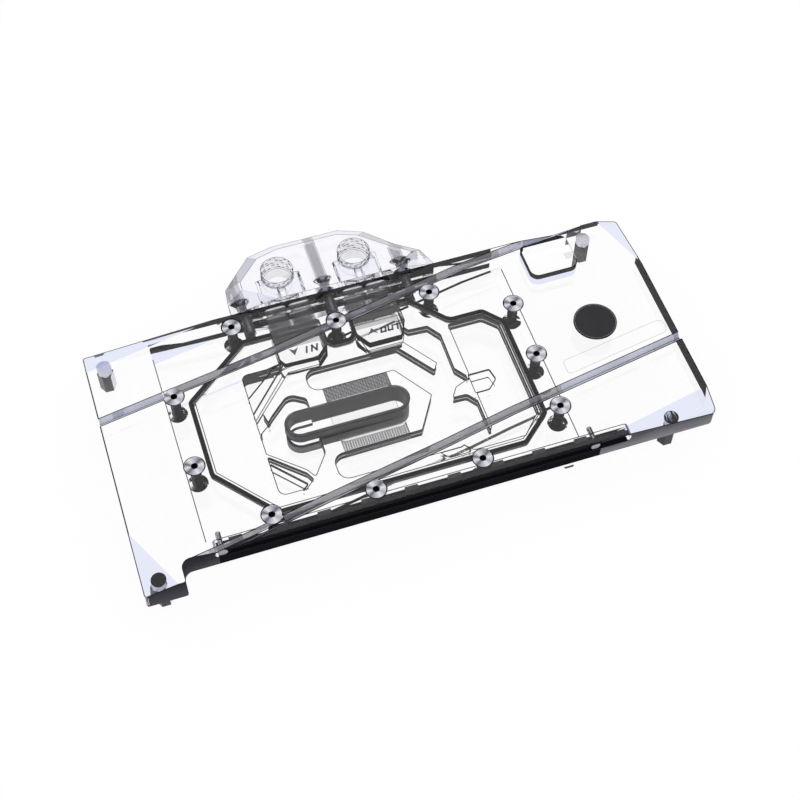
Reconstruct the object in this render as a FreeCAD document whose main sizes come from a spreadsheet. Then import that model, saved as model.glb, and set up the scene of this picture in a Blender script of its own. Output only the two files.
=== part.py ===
import FreeCAD, Part
import math
import os
import Sketcher

# GPU water block: a clear acrylic cover screwed to a nickel-plated copper cold plate, with a clear
# terminal block for two hose fittings at its back edge. Millimetres, +Z up. The origin is the centre
# of the face that touches the graphics chip, X runs along the graphics card, +Y points to the
# terminal block.

# Driving dimensions: name, value
SIZES = [
    # Stack of the block
    ("pedestal_rise", 1.2), ("plate_thick", 5.4), ("face_gap", 0.1), ("cover_thick", 10.5),
    ("thread_play", 0.05), ("fit_play", 0.15),
    # Outline of the cover, as distances from the chip's centre
    ("cover_left", 98.0), ("cover_right", 126.2), ("cover_back", 56.2), ("cover_front", 43.1),
    ("cover_round", 1.0), ("front_right_round", 2.2),
    ("foot_width", 15.2), ("foot_reach", 8.8), ("foot_fillet", 3.5),
    # Planar facets at the four top corners of the cover
    ("back_left_run_x", 52.0), ("back_left_run_y", 9.3), ("back_left_drop", 3.5),
    ("front_left_run_x", 12.5), ("front_left_run_y", 25.4), ("front_left_drop", 3.0),
    ("back_right_run_x", 9.2), ("back_right_run_y", 25.5), ("back_right_drop", 3.5),
    ("front_right_run_x", 52.2), ("front_right_run_y", 10.5), ("front_right_drop", 3.5),
    # Decorative grooves in the top
    ("groove_width", 3.6), ("groove_depth", 1.8),
    # Window for the power connector
    ("window_left", 81.9), ("window_right", 102.0), ("window_front", 37.2), ("window_bridge", 1.8),
    ("window_round", 3.5),
    # Badge
    ("badge_x", 97.3), ("badge_y", 9.1), ("badge_diameter", 16.5), ("badge_thick", 1.0),
    # Cold plate outline, as distances from the chip's centre
    ("plate_left", 72.3), ("plate_right", 73.4), ("plate_front", 41.0), ("plate_back", 55.3),
    ("plate_corner", 6.0), ("plate_round", 1.0),
    # Cooling fins and jet plate
    ("fin_field_x", 26.0), ("fin_field_front", 15.6), ("fin_field_back", 15.6),
    ("fin_pitch", 1.0), ("fin_gap", 0.5), ("fin_depth", 4.0),
    ("jet_plate_thick", 1.0), ("jet_plate_front", 9.7), ("jet_plate_back", 9.4),
    ("jet_plate_round", 2.0), ("jet_slit_length", 24.0), ("jet_slit_width", 1.2),
    ("jet_plate_end", 1.0),
    # Jet pocket and its collar
    ("jet_left", 32.0), ("jet_right", 17.0), ("jet_centre_y", -0.1), ("jet_radius", 5.8),
    ("jet_depth", 8.5), ("collar_wall", 1.2), ("collar_gap_right", 20.4),
    # Flow chambers in the underside of the cover
    ("inlet_depth", 2.4), ("step_depth", 3.4), ("outlet_depth", 2.1), ("right_depth", 2.1),
    ("left_depth", 2.1), ("lower_left_depth", 1.8), ("corner_depth", 3.0), ("front_depth", 1.6),
    ("tab_depth", 2.9), ("well_depth", 7.3),
    # Contact faces on the underside of the plate
    ("pedestal_x", 34.0), ("pedestal_y", 38.0), ("land_rise", 0.5), ("land_round", 1.0),
    ("gpu_screw_pitch", 58.4), ("gpu_boss_diameter", 6.0), ("gpu_boss_rise", 0.9),
    ("gpu_thread_diameter", 2.5), ("gpu_thread_depth", 4.5),
    # Countersunk screws
    ("screw_diameter", 4.0), ("screw_head", 7.7), ("screw_rim", 0.5), ("screw_socket", 2.5),
    ("socket_depth", 2.2), ("cover_screw_length", 14.6), ("terminal_screw_length", 16.0),
    ("counterbore_diameter", 8.2),
    # Main seal
    ("seal_cord", 1.6), ("seal_groove_width", 2.4), ("seal_groove_depth", 1.5),
    # Terminal block
    ("terminal_bottom", 5.6), ("terminal_shoulder", 17.1), ("terminal_top", 20.6),
    ("inlet_x", -15.5), ("outlet_x", 16.6), ("port_y", 70.0), ("port_diameter", 13.157),
    ("port_thread_depth", 6.5), ("port_chamber_diameter", 11.8), ("port_chamber_depth", 12.0),
    ("slot_width", 8.6), ("slot_height", 4.4), ("slot_spacing", 9.9), ("slot_centre_z", 11.6),
    ("port_seal_cord", 1.5), ("port_seal_depth", 1.2), ("port_seal_margin", 1.6),
    ("port_pocket_back", 45.6), ("terminal_screw_y", 63.6), ("terminal_screw_z", 11.6),
    # Light strip in the front edge
    ("led_slot_left", 70.3), ("led_slot_right", 91.0), ("led_slot_rise", 5.0),
    ("led_slot_height", 4.1), ("led_slot_depth", 4.7),
    ("board_left", 69.6), ("board_right", 78.9), ("board_height", 3.9), ("board_thick", 0.9),
    ("board_inset", 1.5), ("led_width", 5.0), ("led_height", 3.5), ("led_depth", 2.0),
    ("led_first_x", -61.7), ("led_pitch", 16.67),
    ("led_screw_diameter", 2.0), ("led_screw_head", 3.6), ("led_screw_length", 5.2),
    ("led_screw_head_thick", 1.2), ("led_screw_left", -67.4), ("led_screw_right", 76.7),
    # Standoffs
    ("standoff_flats", 5.6), ("standoff_reach", 9.4), ("standoff_stud_diameter", 5.5),
    ("standoff_stud_length", 5.0), ("standoff_thread_diameter", 2.5),
    ("standoff_thread_depth", 7.0), ("plate_stud_diameter", 3.0), ("plate_stud_length", 3.0),
    ("plate_thread_depth", 3.0),
]

# Places that more than one piece shares, by name: x, y
COVER_SCREWS = [
    (-68.6, 25.7), (-68.6, -6.6), (-46.9, -35.1), (-7.8, -36.7), (33.8, -36.4), (69.7, -23.6),
    (69.7, 1.7), (69.7, 27.3), (39.8, 43.1), (0.5, 41.2), (-39.5, 50.7),
]
TERMINAL_SCREWS = [-32.5, 1.5, 33.7]
COVER_STANDOFFS = {
    "back_left": (-91.1, 49.4),
    "front_left": (-91.5, -45.9),
    "front_right": (109.0, -39.0),
    "back_right": (109.8, 52.0),
}
PLATE_STANDOFF = (69.0, -37.0)
LED_COUNT = 9

# Heights that follow from the stack
PLATE_BOTTOM = "sizes.pedestal_rise"
PLATE_TOP = "(sizes.pedestal_rise + sizes.plate_thick)"
COVER_BOTTOM = "(sizes.pedestal_rise + sizes.plate_thick + sizes.face_gap)"
COVER_TOP = "(sizes.pedestal_rise + sizes.plate_thick + sizes.face_gap + sizes.cover_thick)"
# Half the length of the jet plate, which reaches past both ends of its slit
JET_PLATE_HALF = "(sizes.jet_slit_length / 2 + sizes.jet_plate_end)"
# How far a cutting tool runs past the surface that it opens
OVERRUN = 5.0

doc = FreeCAD.newDocument("gpu_water_block")
sheet = doc.addObject("Spreadsheet::Sheet", "sizes")
sheet.Label = "sizes"


def fill_sheet():
    """Write every driving dimension and shared place into its own named cell."""
    rows = list(SIZES)
    for number, (x, y) in enumerate(COVER_SCREWS, start=1):
        rows.append((f"cover_screw_{number}_x", x))
        rows.append((f"cover_screw_{number}_y", y))
    for number, x in enumerate(TERMINAL_SCREWS, start=1):
        rows.append((f"terminal_screw_{number}_x", x))
    for name, (x, y) in COVER_STANDOFFS.items():
        rows.append((f"standoff_{name}_x", x))
        rows.append((f"standoff_{name}_y", y))
    rows.append(("standoff_plate_x", PLATE_STANDOFF[0]))
    rows.append(("standoff_plate_y", PLATE_STANDOFF[1]))
    for row, (alias, value) in enumerate(rows, start=1):
        sheet.set(f"A{row}", alias)
        sheet.set(f"B{row}", str(value))
        sheet.setAlias(f"B{row}", alias)
    doc.recompute()


fill_sheet()


def value_of(expression):
    """Return the number that an expression over the sheet has now."""
    if isinstance(expression, (int, float)):
        return float(expression)
    return float(sheet.evalExpression(expression.replace("sizes.", "")))


def bind(item, prop, expression):
    """Tie one property of an object to the sheet, or set it when it is a plain number."""
    if isinstance(expression, (int, float)):
        expression = str(expression)
    item.setExpression(prop, expression)


def place(item, x=0.0, y=0.0, z=0.0):
    """Tie an object's position to the sheet."""
    bind(item, "Placement.Base.x", x)
    bind(item, "Placement.Base.y", y)
    bind(item, "Placement.Base.z", z)


# Sketch helpers


def new_body(label):
    """Start a body whose label is the name of its piece."""
    body = doc.addObject("PartDesign::Body", label)
    body.Label = label
    return body


def origin_plane(body, role):
    """Find one of the body's own origin planes by its role."""
    for feature in body.Origin.OriginFeatures:
        if feature.Role == role:
            return feature
    raise ValueError(role)


def new_sketch(body, name, role="XY_Plane", offset=0.0):
    """Lay a sketch on an origin plane, moved along the plane's normal by an offset."""
    sketch = body.newObject("Sketcher::SketchObject", name)
    sketch.AttachmentSupport = [(origin_plane(body, role), "")]
    sketch.MapMode = "FlatFace"
    bind(sketch, "AttachmentOffset.Base.z", offset)
    return sketch


def add_constraints(sketch, entries):
    """Add constraints in one go, then tie those that carry an expression to the sheet.

    Each entry is a constraint and the expression of its size, or None.
    """
    first = sketch.ConstraintCount
    sketch.addConstraint([constraint for constraint, _ in entries])
    for number, (_, expression) in enumerate(entries, start=first):
        if isinstance(expression, str):
            sketch.setExpression(f"Constraints[{number}]", expression)


def pins(geometry, vertex, x, y):
    """Return the constraints that hold a point at sheet-driven coordinates."""
    return [(Sketcher.Constraint("DistanceX", -1, 1, geometry, vertex, value_of(x)), x),
            (Sketcher.Constraint("DistanceY", -1, 1, geometry, vertex, value_of(y)), y)]


def circle(sketch, x, y, radius):
    """Draw a circle whose centre and radius follow the sheet."""
    centre = FreeCAD.Vector(value_of(x), value_of(y), 0)
    number = sketch.addGeometry(
        Part.Circle(centre, FreeCAD.Vector(0, 0, 1), value_of(radius)), False)
    size = Sketcher.Constraint("Radius", number, value_of(radius))
    add_constraints(sketch, pins(number, 3, x, y) + [(size, radius)])


def polyline(sketch, points):
    """Draw a closed outline of straight runs through points, each pinned to the sheet."""
    spots = [FreeCAD.Vector(value_of(x), value_of(y), 0) for x, y in points]
    count = len(points)
    first = sketch.addGeometry(
        [Part.LineSegment(spots[i], spots[(i + 1) % count]) for i in range(count)], False)[0]
    entries = []
    for i in range(count):
        joint = Sketcher.Constraint("Coincident", first + i, 2, first + (i + 1) % count, 1)
        entries.append((joint, None))
        entries.extend(pins(first + i, 1, *points[i]))
    add_constraints(sketch, entries)


def corner_arc(before, spot, after, radius):
    """Return the arc that rounds a corner, its two ends and whether it turns left."""
    towards_last = (before - spot).normalize()
    towards_next = (after - spot).normalize()
    half = math.acos(max(-1.0, min(1.0, towards_last.dot(towards_next)))) / 2
    begin = spot + towards_last * (radius / math.tan(half))
    finish = spot + towards_next * (radius / math.tan(half))
    centre = spot + (towards_last + towards_next).normalize() * (radius / math.sin(half))
    left = (-towards_last).cross(towards_next).z > 0
    angles = [math.atan2(p.y - centre.y, p.x - centre.x) for p in (begin, finish)]
    if not left:
        angles.reverse()
    arc = Part.ArcOfCircle(
        Part.Circle(centre, FreeCAD.Vector(0, 0, 1), radius), angles[0], angles[1])
    return arc, begin, finish, left


def rounded_outline(sketch, corners):
    """Draw a closed outline with tangent arcs at the corners that have a radius.

    Each corner is x, y and a radius, numbers or expressions. A corner's own point is kept as
    construction geometry, so the outline follows the sheet.
    """
    count = len(corners)
    spots = [FreeCAD.Vector(value_of(c[0]), value_of(c[1]), 0) for c in corners]
    radii = [value_of(c[2]) for c in corners]
    arcs = [corner_arc(spots[i - 1], spots[i], spots[(i + 1) % count], radii[i])
            if radii[i] else (None, spots[i], spots[i], True) for i in range(count)]
    lines = sketch.addGeometry(
        [Part.LineSegment(arcs[i][2], arcs[(i + 1) % count][1]) for i in range(count)], False)
    entries = []
    for i in range(count):
        before, after = lines[i - 1], lines[i]
        arc, _, _, left = arcs[i]
        if arc is None:
            entries.append((Sketcher.Constraint("Coincident", before, 2, after, 1), None))
            entries.extend(pins(after, 1, corners[i][0], corners[i][1]))
            continue
        number = sketch.addGeometry(arc, False)
        corner = sketch.addGeometry(Part.Point(spots[i]), True)
        arc_start, arc_end = (1, 2) if left else (2, 1)
        entries.extend([
            (Sketcher.Constraint("Tangent", before, 2, number, arc_start), None),
            (Sketcher.Constraint("Tangent", number, arc_end, after, 1), None),
            (Sketcher.Constraint("PointOnObject", corner, 1, before), None),
            (Sketcher.Constraint("PointOnObject", corner, 1, after), None),
            (Sketcher.Constraint("Radius", number, radii[i]), corners[i][2]),
        ])
        entries.extend(pins(corner, 1, corners[i][0], corners[i][1]))
    add_constraints(sketch, entries)


def box_corners(left, right, low, high, radius=0.0):
    """Return the corners of an upright rectangle for rounded_outline."""
    return [(left, low, radius), (right, low, radius), (right, high, radius), (left, high, radius)]


def stadium(sketch, left, right, middle, radius):
    """Draw a slot outline: two straight sides joined by half circles."""
    x0, x1 = value_of(left), value_of(right)
    y, r = value_of(middle), value_of(radius)
    up = FreeCAD.Vector(0, 0, 1)
    shapes = [
        Part.LineSegment(FreeCAD.Vector(x0 + r, y - r, 0), FreeCAD.Vector(x1 - r, y - r, 0)),
        Part.ArcOfCircle(Part.Circle(FreeCAD.Vector(x1 - r, y, 0), up, r),
                         -math.pi / 2, math.pi / 2),
        Part.LineSegment(FreeCAD.Vector(x1 - r, y + r, 0), FreeCAD.Vector(x0 + r, y + r, 0)),
        Part.ArcOfCircle(Part.Circle(FreeCAD.Vector(x0 + r, y, 0), up, r),
                         math.pi / 2, 3 * math.pi / 2),
    ]
    bottom, right_arc, top, left_arc = sketch.addGeometry(shapes, False)
    entries = [(Sketcher.Constraint("Tangent", bottom, 2, right_arc, 1), None),
               (Sketcher.Constraint("Tangent", right_arc, 2, top, 1), None),
               (Sketcher.Constraint("Tangent", top, 2, left_arc, 1), None),
               (Sketcher.Constraint("Tangent", left_arc, 2, bottom, 1), None),
               (Sketcher.Constraint("Equal", left_arc, right_arc), None),
               (Sketcher.Constraint("Radius", left_arc, r), radius),
               (Sketcher.Constraint("DistanceX", -1, 1, right_arc, 3, x1 - r),
                f"{right} - ({radius})")]
    entries.extend(pins(left_arc, 3, f"{left} + ({radius})", middle))
    add_constraints(sketch, entries)


# Feature helpers


def pad(body, sketch, length, reverse=False):
    """Add material from a sketch along its normal, or against it."""
    feature = body.newObject("PartDesign::Pad", sketch.Name + "_pad")
    feature.Profile = sketch
    feature.Reversed = reverse
    bind(feature, "Length", length)
    sketch.Visibility = False
    return feature


def pocket(body, sketch, length, reverse=False):
    """Cut material from a sketch against its normal, or along it, and check that it cut."""
    before = body.Shape.Volume
    feature = body.newObject("PartDesign::Pocket", sketch.Name + "_pocket")
    feature.Profile = sketch
    feature.Reversed = reverse
    bind(feature, "Length", length)
    doc.recompute()
    if body.Shape.isNull() or body.Shape.Volume >= before:
        raise RuntimeError(f"{feature.Name} cut nothing")
    return feature


def primitive(kind, name, **sizes):
    """Make a Part primitive whose sizes follow the sheet."""
    item = doc.addObject(kind, name)
    for prop, expression in sizes.items():
        bind(item, prop, expression)
    return item


def cut(label, base, tool):
    """Subtract one object from another."""
    item = doc.addObject("Part::Cut", label)
    item.Label = label
    item.Base = base
    item.Tool = tool
    return item


def fuse(label, *items):
    """Join objects into one solid."""
    item = doc.addObject("Part::MultiFuse", label)
    item.Label = label
    item.Shapes = list(items)
    item.Refine = True
    return item


def compound(label, items):
    """Group objects without joining them."""
    item = doc.addObject("Part::Compound", label)
    item.Label = label
    item.Links = items
    return item


def link_group(label, source, places):
    """Group identical copies of one object at given places.

    Each place is x, y and z as expressions and a rotation.
    """
    links = []
    for number, (x, y, z, rotation) in enumerate(places, start=1):
        link = doc.addObject("App::Link", f"{label}_{number}")
        link.LinkedObject = source
        link.LinkTransform = False
        link.Placement = FreeCAD.Placement(FreeCAD.Vector(), rotation)
        place(link, x, y, z)
        links.append(link)
    return compound(label, links)


# Acrylic cover

COVER_OUTLINE = [
    ("-sizes.cover_left", "-sizes.cover_front - sizes.foot_reach", "sizes.cover_round"),
    ("-sizes.cover_left + sizes.foot_width", "-sizes.cover_front - sizes.foot_reach",
     "sizes.cover_round"),
    ("-sizes.cover_left + sizes.foot_width", "-sizes.cover_front", "sizes.foot_fillet"),
    ("sizes.cover_right", "-sizes.cover_front", "sizes.front_right_round"),
    ("sizes.cover_right", "sizes.cover_back", "sizes.cover_round"),
    ("-sizes.cover_left", "sizes.cover_back", "sizes.cover_round"),
]

# Flow chambers, seen from above. Water comes down the inlet well and the inlet channel, passes the
# left pocket into the jet pocket, leaves the fins through the two long slots of the outlet channel
# and rises in the outlet well.
INLET_WELL = [
    ("sizes.inlet_x - sizes.slot_spacing", "sizes.port_pocket_back", 1.0),
    ("sizes.inlet_x - sizes.slot_spacing", 31.0, 0.8), (-24.0, 28.4, 0.8), (-10.8, 28.0, 0.8),
    ("sizes.inlet_x + sizes.slot_spacing", 33.2, 1.0),
    ("sizes.inlet_x + sizes.slot_spacing", "sizes.port_pocket_back", 1.0),
]
INLET_CHANNEL = [
    (-41.5, 29.8, 2.5), (-26.2, 29.8, 1.0), (-23.0, 33.0, 0.5), (-12.0, 33.0, 0.5),
    (-10.2, 27.7, 0.8), (-24.9, 27.7, 0.8), (-41.5, 9.9, 1.0),
]
INLET_STEP = [
    (-41.5, 11.5, 0.0), (-24.5, 30.2, 0.8), (-10.7, 30.2, 0.3), (-10.7, 25.8, 0.3),
    (-23.6, 25.8, 0.8), (-41.5, 6.8, 0.0),
]
INLET_CORNER = [(-41.5, 29.8, 2.5), (-28.4, 29.8, 0.3), (-41.5, 18.8, 0.3)]
LEFT_PASSAGE = [(-41.5, 12.0, 0.3), (-38.4, 12.6, 0.8), (-36.8, 5.6, 0.8), (-41.5, 1.8, 0.3)]
LEFT_POCKET = [
    (-41.5, 1.5, 0.5), (-34.9, 9.1, 1.5), (-26.5, 16.7, 4.0), (-20.3, 12.7, 2.0),
    (-20.2, -12.9, 3.0), (-26.6, -21.9, 0.8), (-28.9, -18.0, 0.8), (-41.5, -6.8, 0.5),
]
LOWER_LEFT = [
    (-41.5, -7.9, 0.5), (-29.3, -19.2, 1.0), (-27.6, -22.6, 0.8), (-31.6, -26.1, 0.8),
    (-41.5, -26.1, 3.0),
]
LOWER_LEFT_CORNER = [(-41.5, -11.5, 0.3), (-30.2, -24.2, 0.5), (-32.6, -26.1, 0.3),
                     (-41.5, -26.1, 3.0)]
OUTLET_WELL = [
    ("sizes.outlet_x - sizes.slot_spacing", "sizes.port_pocket_back", 1.0),
    ("sizes.outlet_x - sizes.slot_spacing", 33.5, 1.0), (10.2, 27.8, 1.0), (23.4, 27.8, 0.8),
    ("sizes.outlet_x + sizes.slot_spacing", 34.0, 1.0),
    ("sizes.outlet_x + sizes.slot_spacing", "sizes.port_pocket_back", 1.0),
]
OUTLET_CHANNEL = [
    (-17.8, 25.0, 4.2), (20.1, 25.0, 1.0), (30.9, 9.8, 0.6), (32.7, 12.8, 0.6),
    (23.2, 26.5, 0.8), (9.1, 26.5, 0.8), (7.4, 33.6, 0.8), (9.0, 36.0, 1.0), (24.0, 36.0, 1.0),
    (27.1, 31.3, 0.6), (34.9, 30.8, 1.0), (38.6, 25.3, 1.0), (38.4, 8.3, 1.0), (41.6, 3.8, 0.4),
    (41.6, 1.8, 0.4), (36.2, -0.2, 1.5), (33.5, -4.4, 0.4), (39.0, -4.6, 2.0), (42.0, -8.7, 1.0),
    (42.0, -15.2, 1.0), (31.2, -25.4, 1.0), (29.2, -26.4, 0.6), (-18.1, -26.4, 4.2),
    (-18.1, -15.1, 4.2), (17.6, -14.5, 0.6), (26.0, -0.7, 1.0), (15.7, 14.8, 0.6),
    (-17.8, 14.8, 4.2),
]
RIGHT_CHAMBER = [
    (42.9, 28.9, 0.8), (57.2, 28.9, 2.5), (62.4, 23.4, 2.5), (62.4, -20.3, 2.0),
    (53.9, -29.2, 1.5), (33.3, -29.2, 2.0), (29.6, -25.0, 0.6), (38.0, -17.2, 0.3),
    (38.0, -12.0, 0.3), (42.0, -12.0, 0.0), (42.0, -22.0, 0.3), (42.9, -22.0, 0.3),
]
RIGHT_TAB = [
    (42.3, 3.4, 0.3), (51.0, 3.4, 0.8), (52.0, -1.6, 1.5), (48.0, -5.4, 1.5), (42.3, -5.4, 0.3),
]
FRONT_POCKET = [
    (20.2, -25.6, 0.5), (23.6, -29.4, 1.0), (32.6, -29.4, 1.0), (31.0, -25.6, 0.5),
]
CHAMBERS = [
    ("inlet_well", INLET_WELL, "sizes.well_depth"),
    ("inlet_channel", INLET_CHANNEL, "sizes.inlet_depth"),
    ("inlet_step", INLET_STEP, "sizes.step_depth"),
    ("inlet_corner", INLET_CORNER, "sizes.step_depth"),
    ("left_passage", LEFT_PASSAGE, "sizes.inlet_depth"),
    ("left_pocket", LEFT_POCKET, "sizes.left_depth"),
    ("lower_left", LOWER_LEFT, "sizes.lower_left_depth"),
    ("lower_left_corner", LOWER_LEFT_CORNER, "sizes.corner_depth"),
    ("outlet_well", OUTLET_WELL, "sizes.well_depth"),
    ("outlet_channel", OUTLET_CHANNEL, "sizes.outlet_depth"),
    ("right_chamber", RIGHT_CHAMBER, "sizes.right_depth"),
    ("right_tab", RIGHT_TAB, "sizes.tab_depth"),
    ("front_pocket", FRONT_POCKET, "sizes.front_depth"),
]

# Outer wall of the seal groove, with a dip round the middle back screw
SEAL_LOOP = [
    (-63.7, -9.4, 3.0), (-48.0, -27.9, 2.0), (-44.0, -32.4, 2.0), (53.5, -32.4, 2.5),
    (65.5, -21.9, 2.5), (65.5, 24.1, 3.0), (58.5, 32.1, 3.0), (45.0, 32.1, 3.0),
    (32.0, 46.9, 2.5), (8.0, 46.9, 1.2), (6.2, 43.9, 1.2), (6.2, 37.6, 2.0), (4.2, 35.1, 2.0),
    (-2.2, 35.1, 2.0), (-4.6, 37.6, 2.0), (-4.6, 43.9, 1.2), (-6.2, 46.9, 1.2),
    (-37.0, 46.9, 2.5), (-63.7, 25.1, 3.0),
]

# Centre lines of the two V grooves in the top
GROOVE_BACK = [
    (-104.0, 22.0), (-72.2, 27.2), (-28.5, 34.3), (57.4, 51.3), (79.8, 54.0), (110.0, 57.6),
]
GROOVE_FRONT = [
    (-80.0, -45.2), (-56.4, -41.2), (-26.8, -35.2), (22.5, -26.1), (52.1, -20.1), (132.0, -6.6),
]


def chamber_pockets(body):
    """Cut the flow chambers into the underside of the cover."""
    for name, corners, depth in CHAMBERS:
        sketch = new_sketch(body, name, offset=COVER_BOTTOM)
        rounded_outline(sketch, corners)
        pocket(body, sketch, depth, reverse=True)
    sketch = new_sketch(body, "jet_pocket_outline", offset=COVER_BOTTOM)
    stadium(sketch, "-sizes.jet_left", "sizes.jet_right", "sizes.jet_centre_y", "sizes.jet_radius")
    pocket(body, sketch, "sizes.jet_depth", reverse=True)


def screw_holes(body):
    """Cut a clearance hole and a countersink for each cover screw."""
    sketch = new_sketch(body, "screw_holes", offset=COVER_TOP)
    for number in range(1, len(COVER_SCREWS) + 1):
        circle(sketch, f"sizes.cover_screw_{number}_x", f"sizes.cover_screw_{number}_y",
               "sizes.screw_diameter / 2 + sizes.fit_play")
    pocket(body, sketch, "sizes.cover_thick")


def cover_side_cuts(body):
    """Cut the port slots, terminal screw holes and light slot through the edges of the cover."""
    back = "-sizes.cover_back"
    slots = new_sketch(body, "port_slots", "XZ_Plane", back)
    for x in ("sizes.inlet_x", "sizes.outlet_x"):
        for side in (-1, 1):
            middle = f"{x} + {side} * sizes.slot_spacing / 2"
            stadium(slots, f"{middle} - sizes.slot_width / 2", f"{middle} + sizes.slot_width / 2",
                    "sizes.slot_centre_z", "sizes.slot_height / 2")
    pocket(body, slots, "sizes.cover_back - sizes.port_pocket_back + 1", reverse=True)
    holes = new_sketch(body, "terminal_screw_holes", "XZ_Plane", back)
    for number in range(1, len(TERMINAL_SCREWS) + 1):
        circle(holes, f"sizes.terminal_screw_{number}_x", "sizes.terminal_screw_z",
               "sizes.screw_diameter / 2 + sizes.thread_play")
    reach = "sizes.cover_back - sizes.terminal_screw_y + sizes.terminal_screw_length + 0.5"
    pocket(body, holes, reach, reverse=True)
    front = "sizes.cover_front"
    strip = new_sketch(body, "light_slot", "XZ_Plane", front)
    stadium(strip, "-sizes.led_slot_left", "sizes.led_slot_right",
            f"{COVER_BOTTOM} + sizes.led_slot_rise + sizes.led_slot_height / 2",
            "sizes.led_slot_height / 2")
    pocket(body, strip, "sizes.led_slot_depth")
    screws = new_sketch(body, "light_screw_holes", "XZ_Plane", front)
    for x in ("sizes.led_screw_left", "sizes.led_screw_right"):
        circle(screws, x, f"{COVER_BOTTOM} + sizes.led_slot_rise + sizes.led_slot_height / 2",
               "sizes.led_screw_diameter / 2 + sizes.thread_play")
    pocket(body, screws, "sizes.board_inset + sizes.board_thick + sizes.led_screw_length + 0.3")


def facet_tool(name, side_x, side_y, run_x, run_y, drop):
    """Return the solid above a plane facet at one top corner of the cover.

    The facet's upper edge runs from one side of the cover to the other, and the corner itself
    lies lower by the drop.
    """
    top = value_of(COVER_TOP)
    corner_x = value_of("sizes.cover_right") if side_x > 0 else -value_of("sizes.cover_left")
    corner_y = value_of("sizes.cover_back")
    if side_y < 0:
        corner_y = -value_of("sizes.cover_front")
        if side_x < 0:
            corner_y = corner_y - value_of("sizes.foot_reach")
    on_long_side = FreeCAD.Vector(corner_x - side_x * value_of(run_x), corner_y, top)
    on_end = FreeCAD.Vector(corner_x, corner_y - side_y * value_of(run_y), top)
    lowered = FreeCAD.Vector(corner_x, corner_y, top - value_of(drop))
    along = on_end - on_long_side
    spots = [on_long_side - along, on_end + along,
             lowered + (lowered - (on_long_side + on_end) * 0.5) * 2]
    face = Part.Face(Part.makePolygon(spots + spots[:1]))
    normal = along.cross(lowered - on_end).normalize()
    if normal.z < 0:
        normal = -normal
    tool = doc.addObject("Part::Feature", name)
    tool.Shape = face.extrude(normal * value_of("sizes.cover_thick"))
    return tool


def groove_tool(name, points):
    """Return the V-shaped solid that follows one decorative groove."""
    top = value_of(COVER_TOP)
    width, depth = value_of("sizes.groove_width"), value_of("sizes.groove_depth")
    spots = [FreeCAD.Vector(x, y, top) for x, y in points]
    spine = Part.makePolygon(spots)
    across = (spots[1] - spots[0]).normalize().cross(FreeCAD.Vector(0, 0, 1))
    slope = width / 2 / depth
    lift = OVERRUN / 5
    wide = across * (width / 2 + lift * slope)
    up = FreeCAD.Vector(0, 0, lift)
    low = spots[0] - FreeCAD.Vector(0, 0, depth)
    section = Part.makePolygon([low, spots[0] + wide + up, spots[0] - wide + up, low])
    shell = Part.BRepOffsetAPI.MakePipeShell(spine)
    shell.setTransitionMode(1)
    shell.add(section)
    shell.build()
    shell.makeSolid()
    tool = doc.addObject("Part::Feature", name)
    tool.Shape = shell.shape()
    return tool


def countersink_tool(label):
    """Return the turned solid that seats a countersunk head, with its top at the origin."""
    body = new_body(label)
    profile = new_sketch(body, label + "_profile", "XZ_Plane")
    head = "(sizes.screw_head / 2 + sizes.fit_play)"
    shank = "(sizes.screw_diameter / 2 + sizes.fit_play)"
    polyline(profile, [(0.0, OVERRUN), (head, OVERRUN), (head, "-sizes.screw_rim"),
                       (shank, f"-sizes.screw_rim - ({head} - {shank})"),
                       (0.0, f"-sizes.screw_rim - ({head} - {shank})")])
    turned = body.newObject("PartDesign::Revolution", label + "_turned")
    turned.Profile = profile
    turned.ReferenceAxis = (profile, ["V_Axis"])
    turned.Angle = 360
    doc.recompute()
    return body


def cover_screw_places():
    """Return where each cover screw's head has its top, upright."""
    return [(f"sizes.cover_screw_{n}_x", f"sizes.cover_screw_{n}_y", COVER_TOP,
             FreeCAD.Rotation()) for n in range(1, len(COVER_SCREWS) + 1)]


def terminal_screw_places():
    """Return where each terminal screw's head has its end, lying along Y."""
    lying = FreeCAD.Rotation(FreeCAD.Vector(1, 0, 0), -90)
    return [(f"sizes.terminal_screw_{n}_x", "sizes.terminal_screw_y", "sizes.terminal_screw_z",
             lying) for n in range(1, len(TERMINAL_SCREWS) + 1)]


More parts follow.
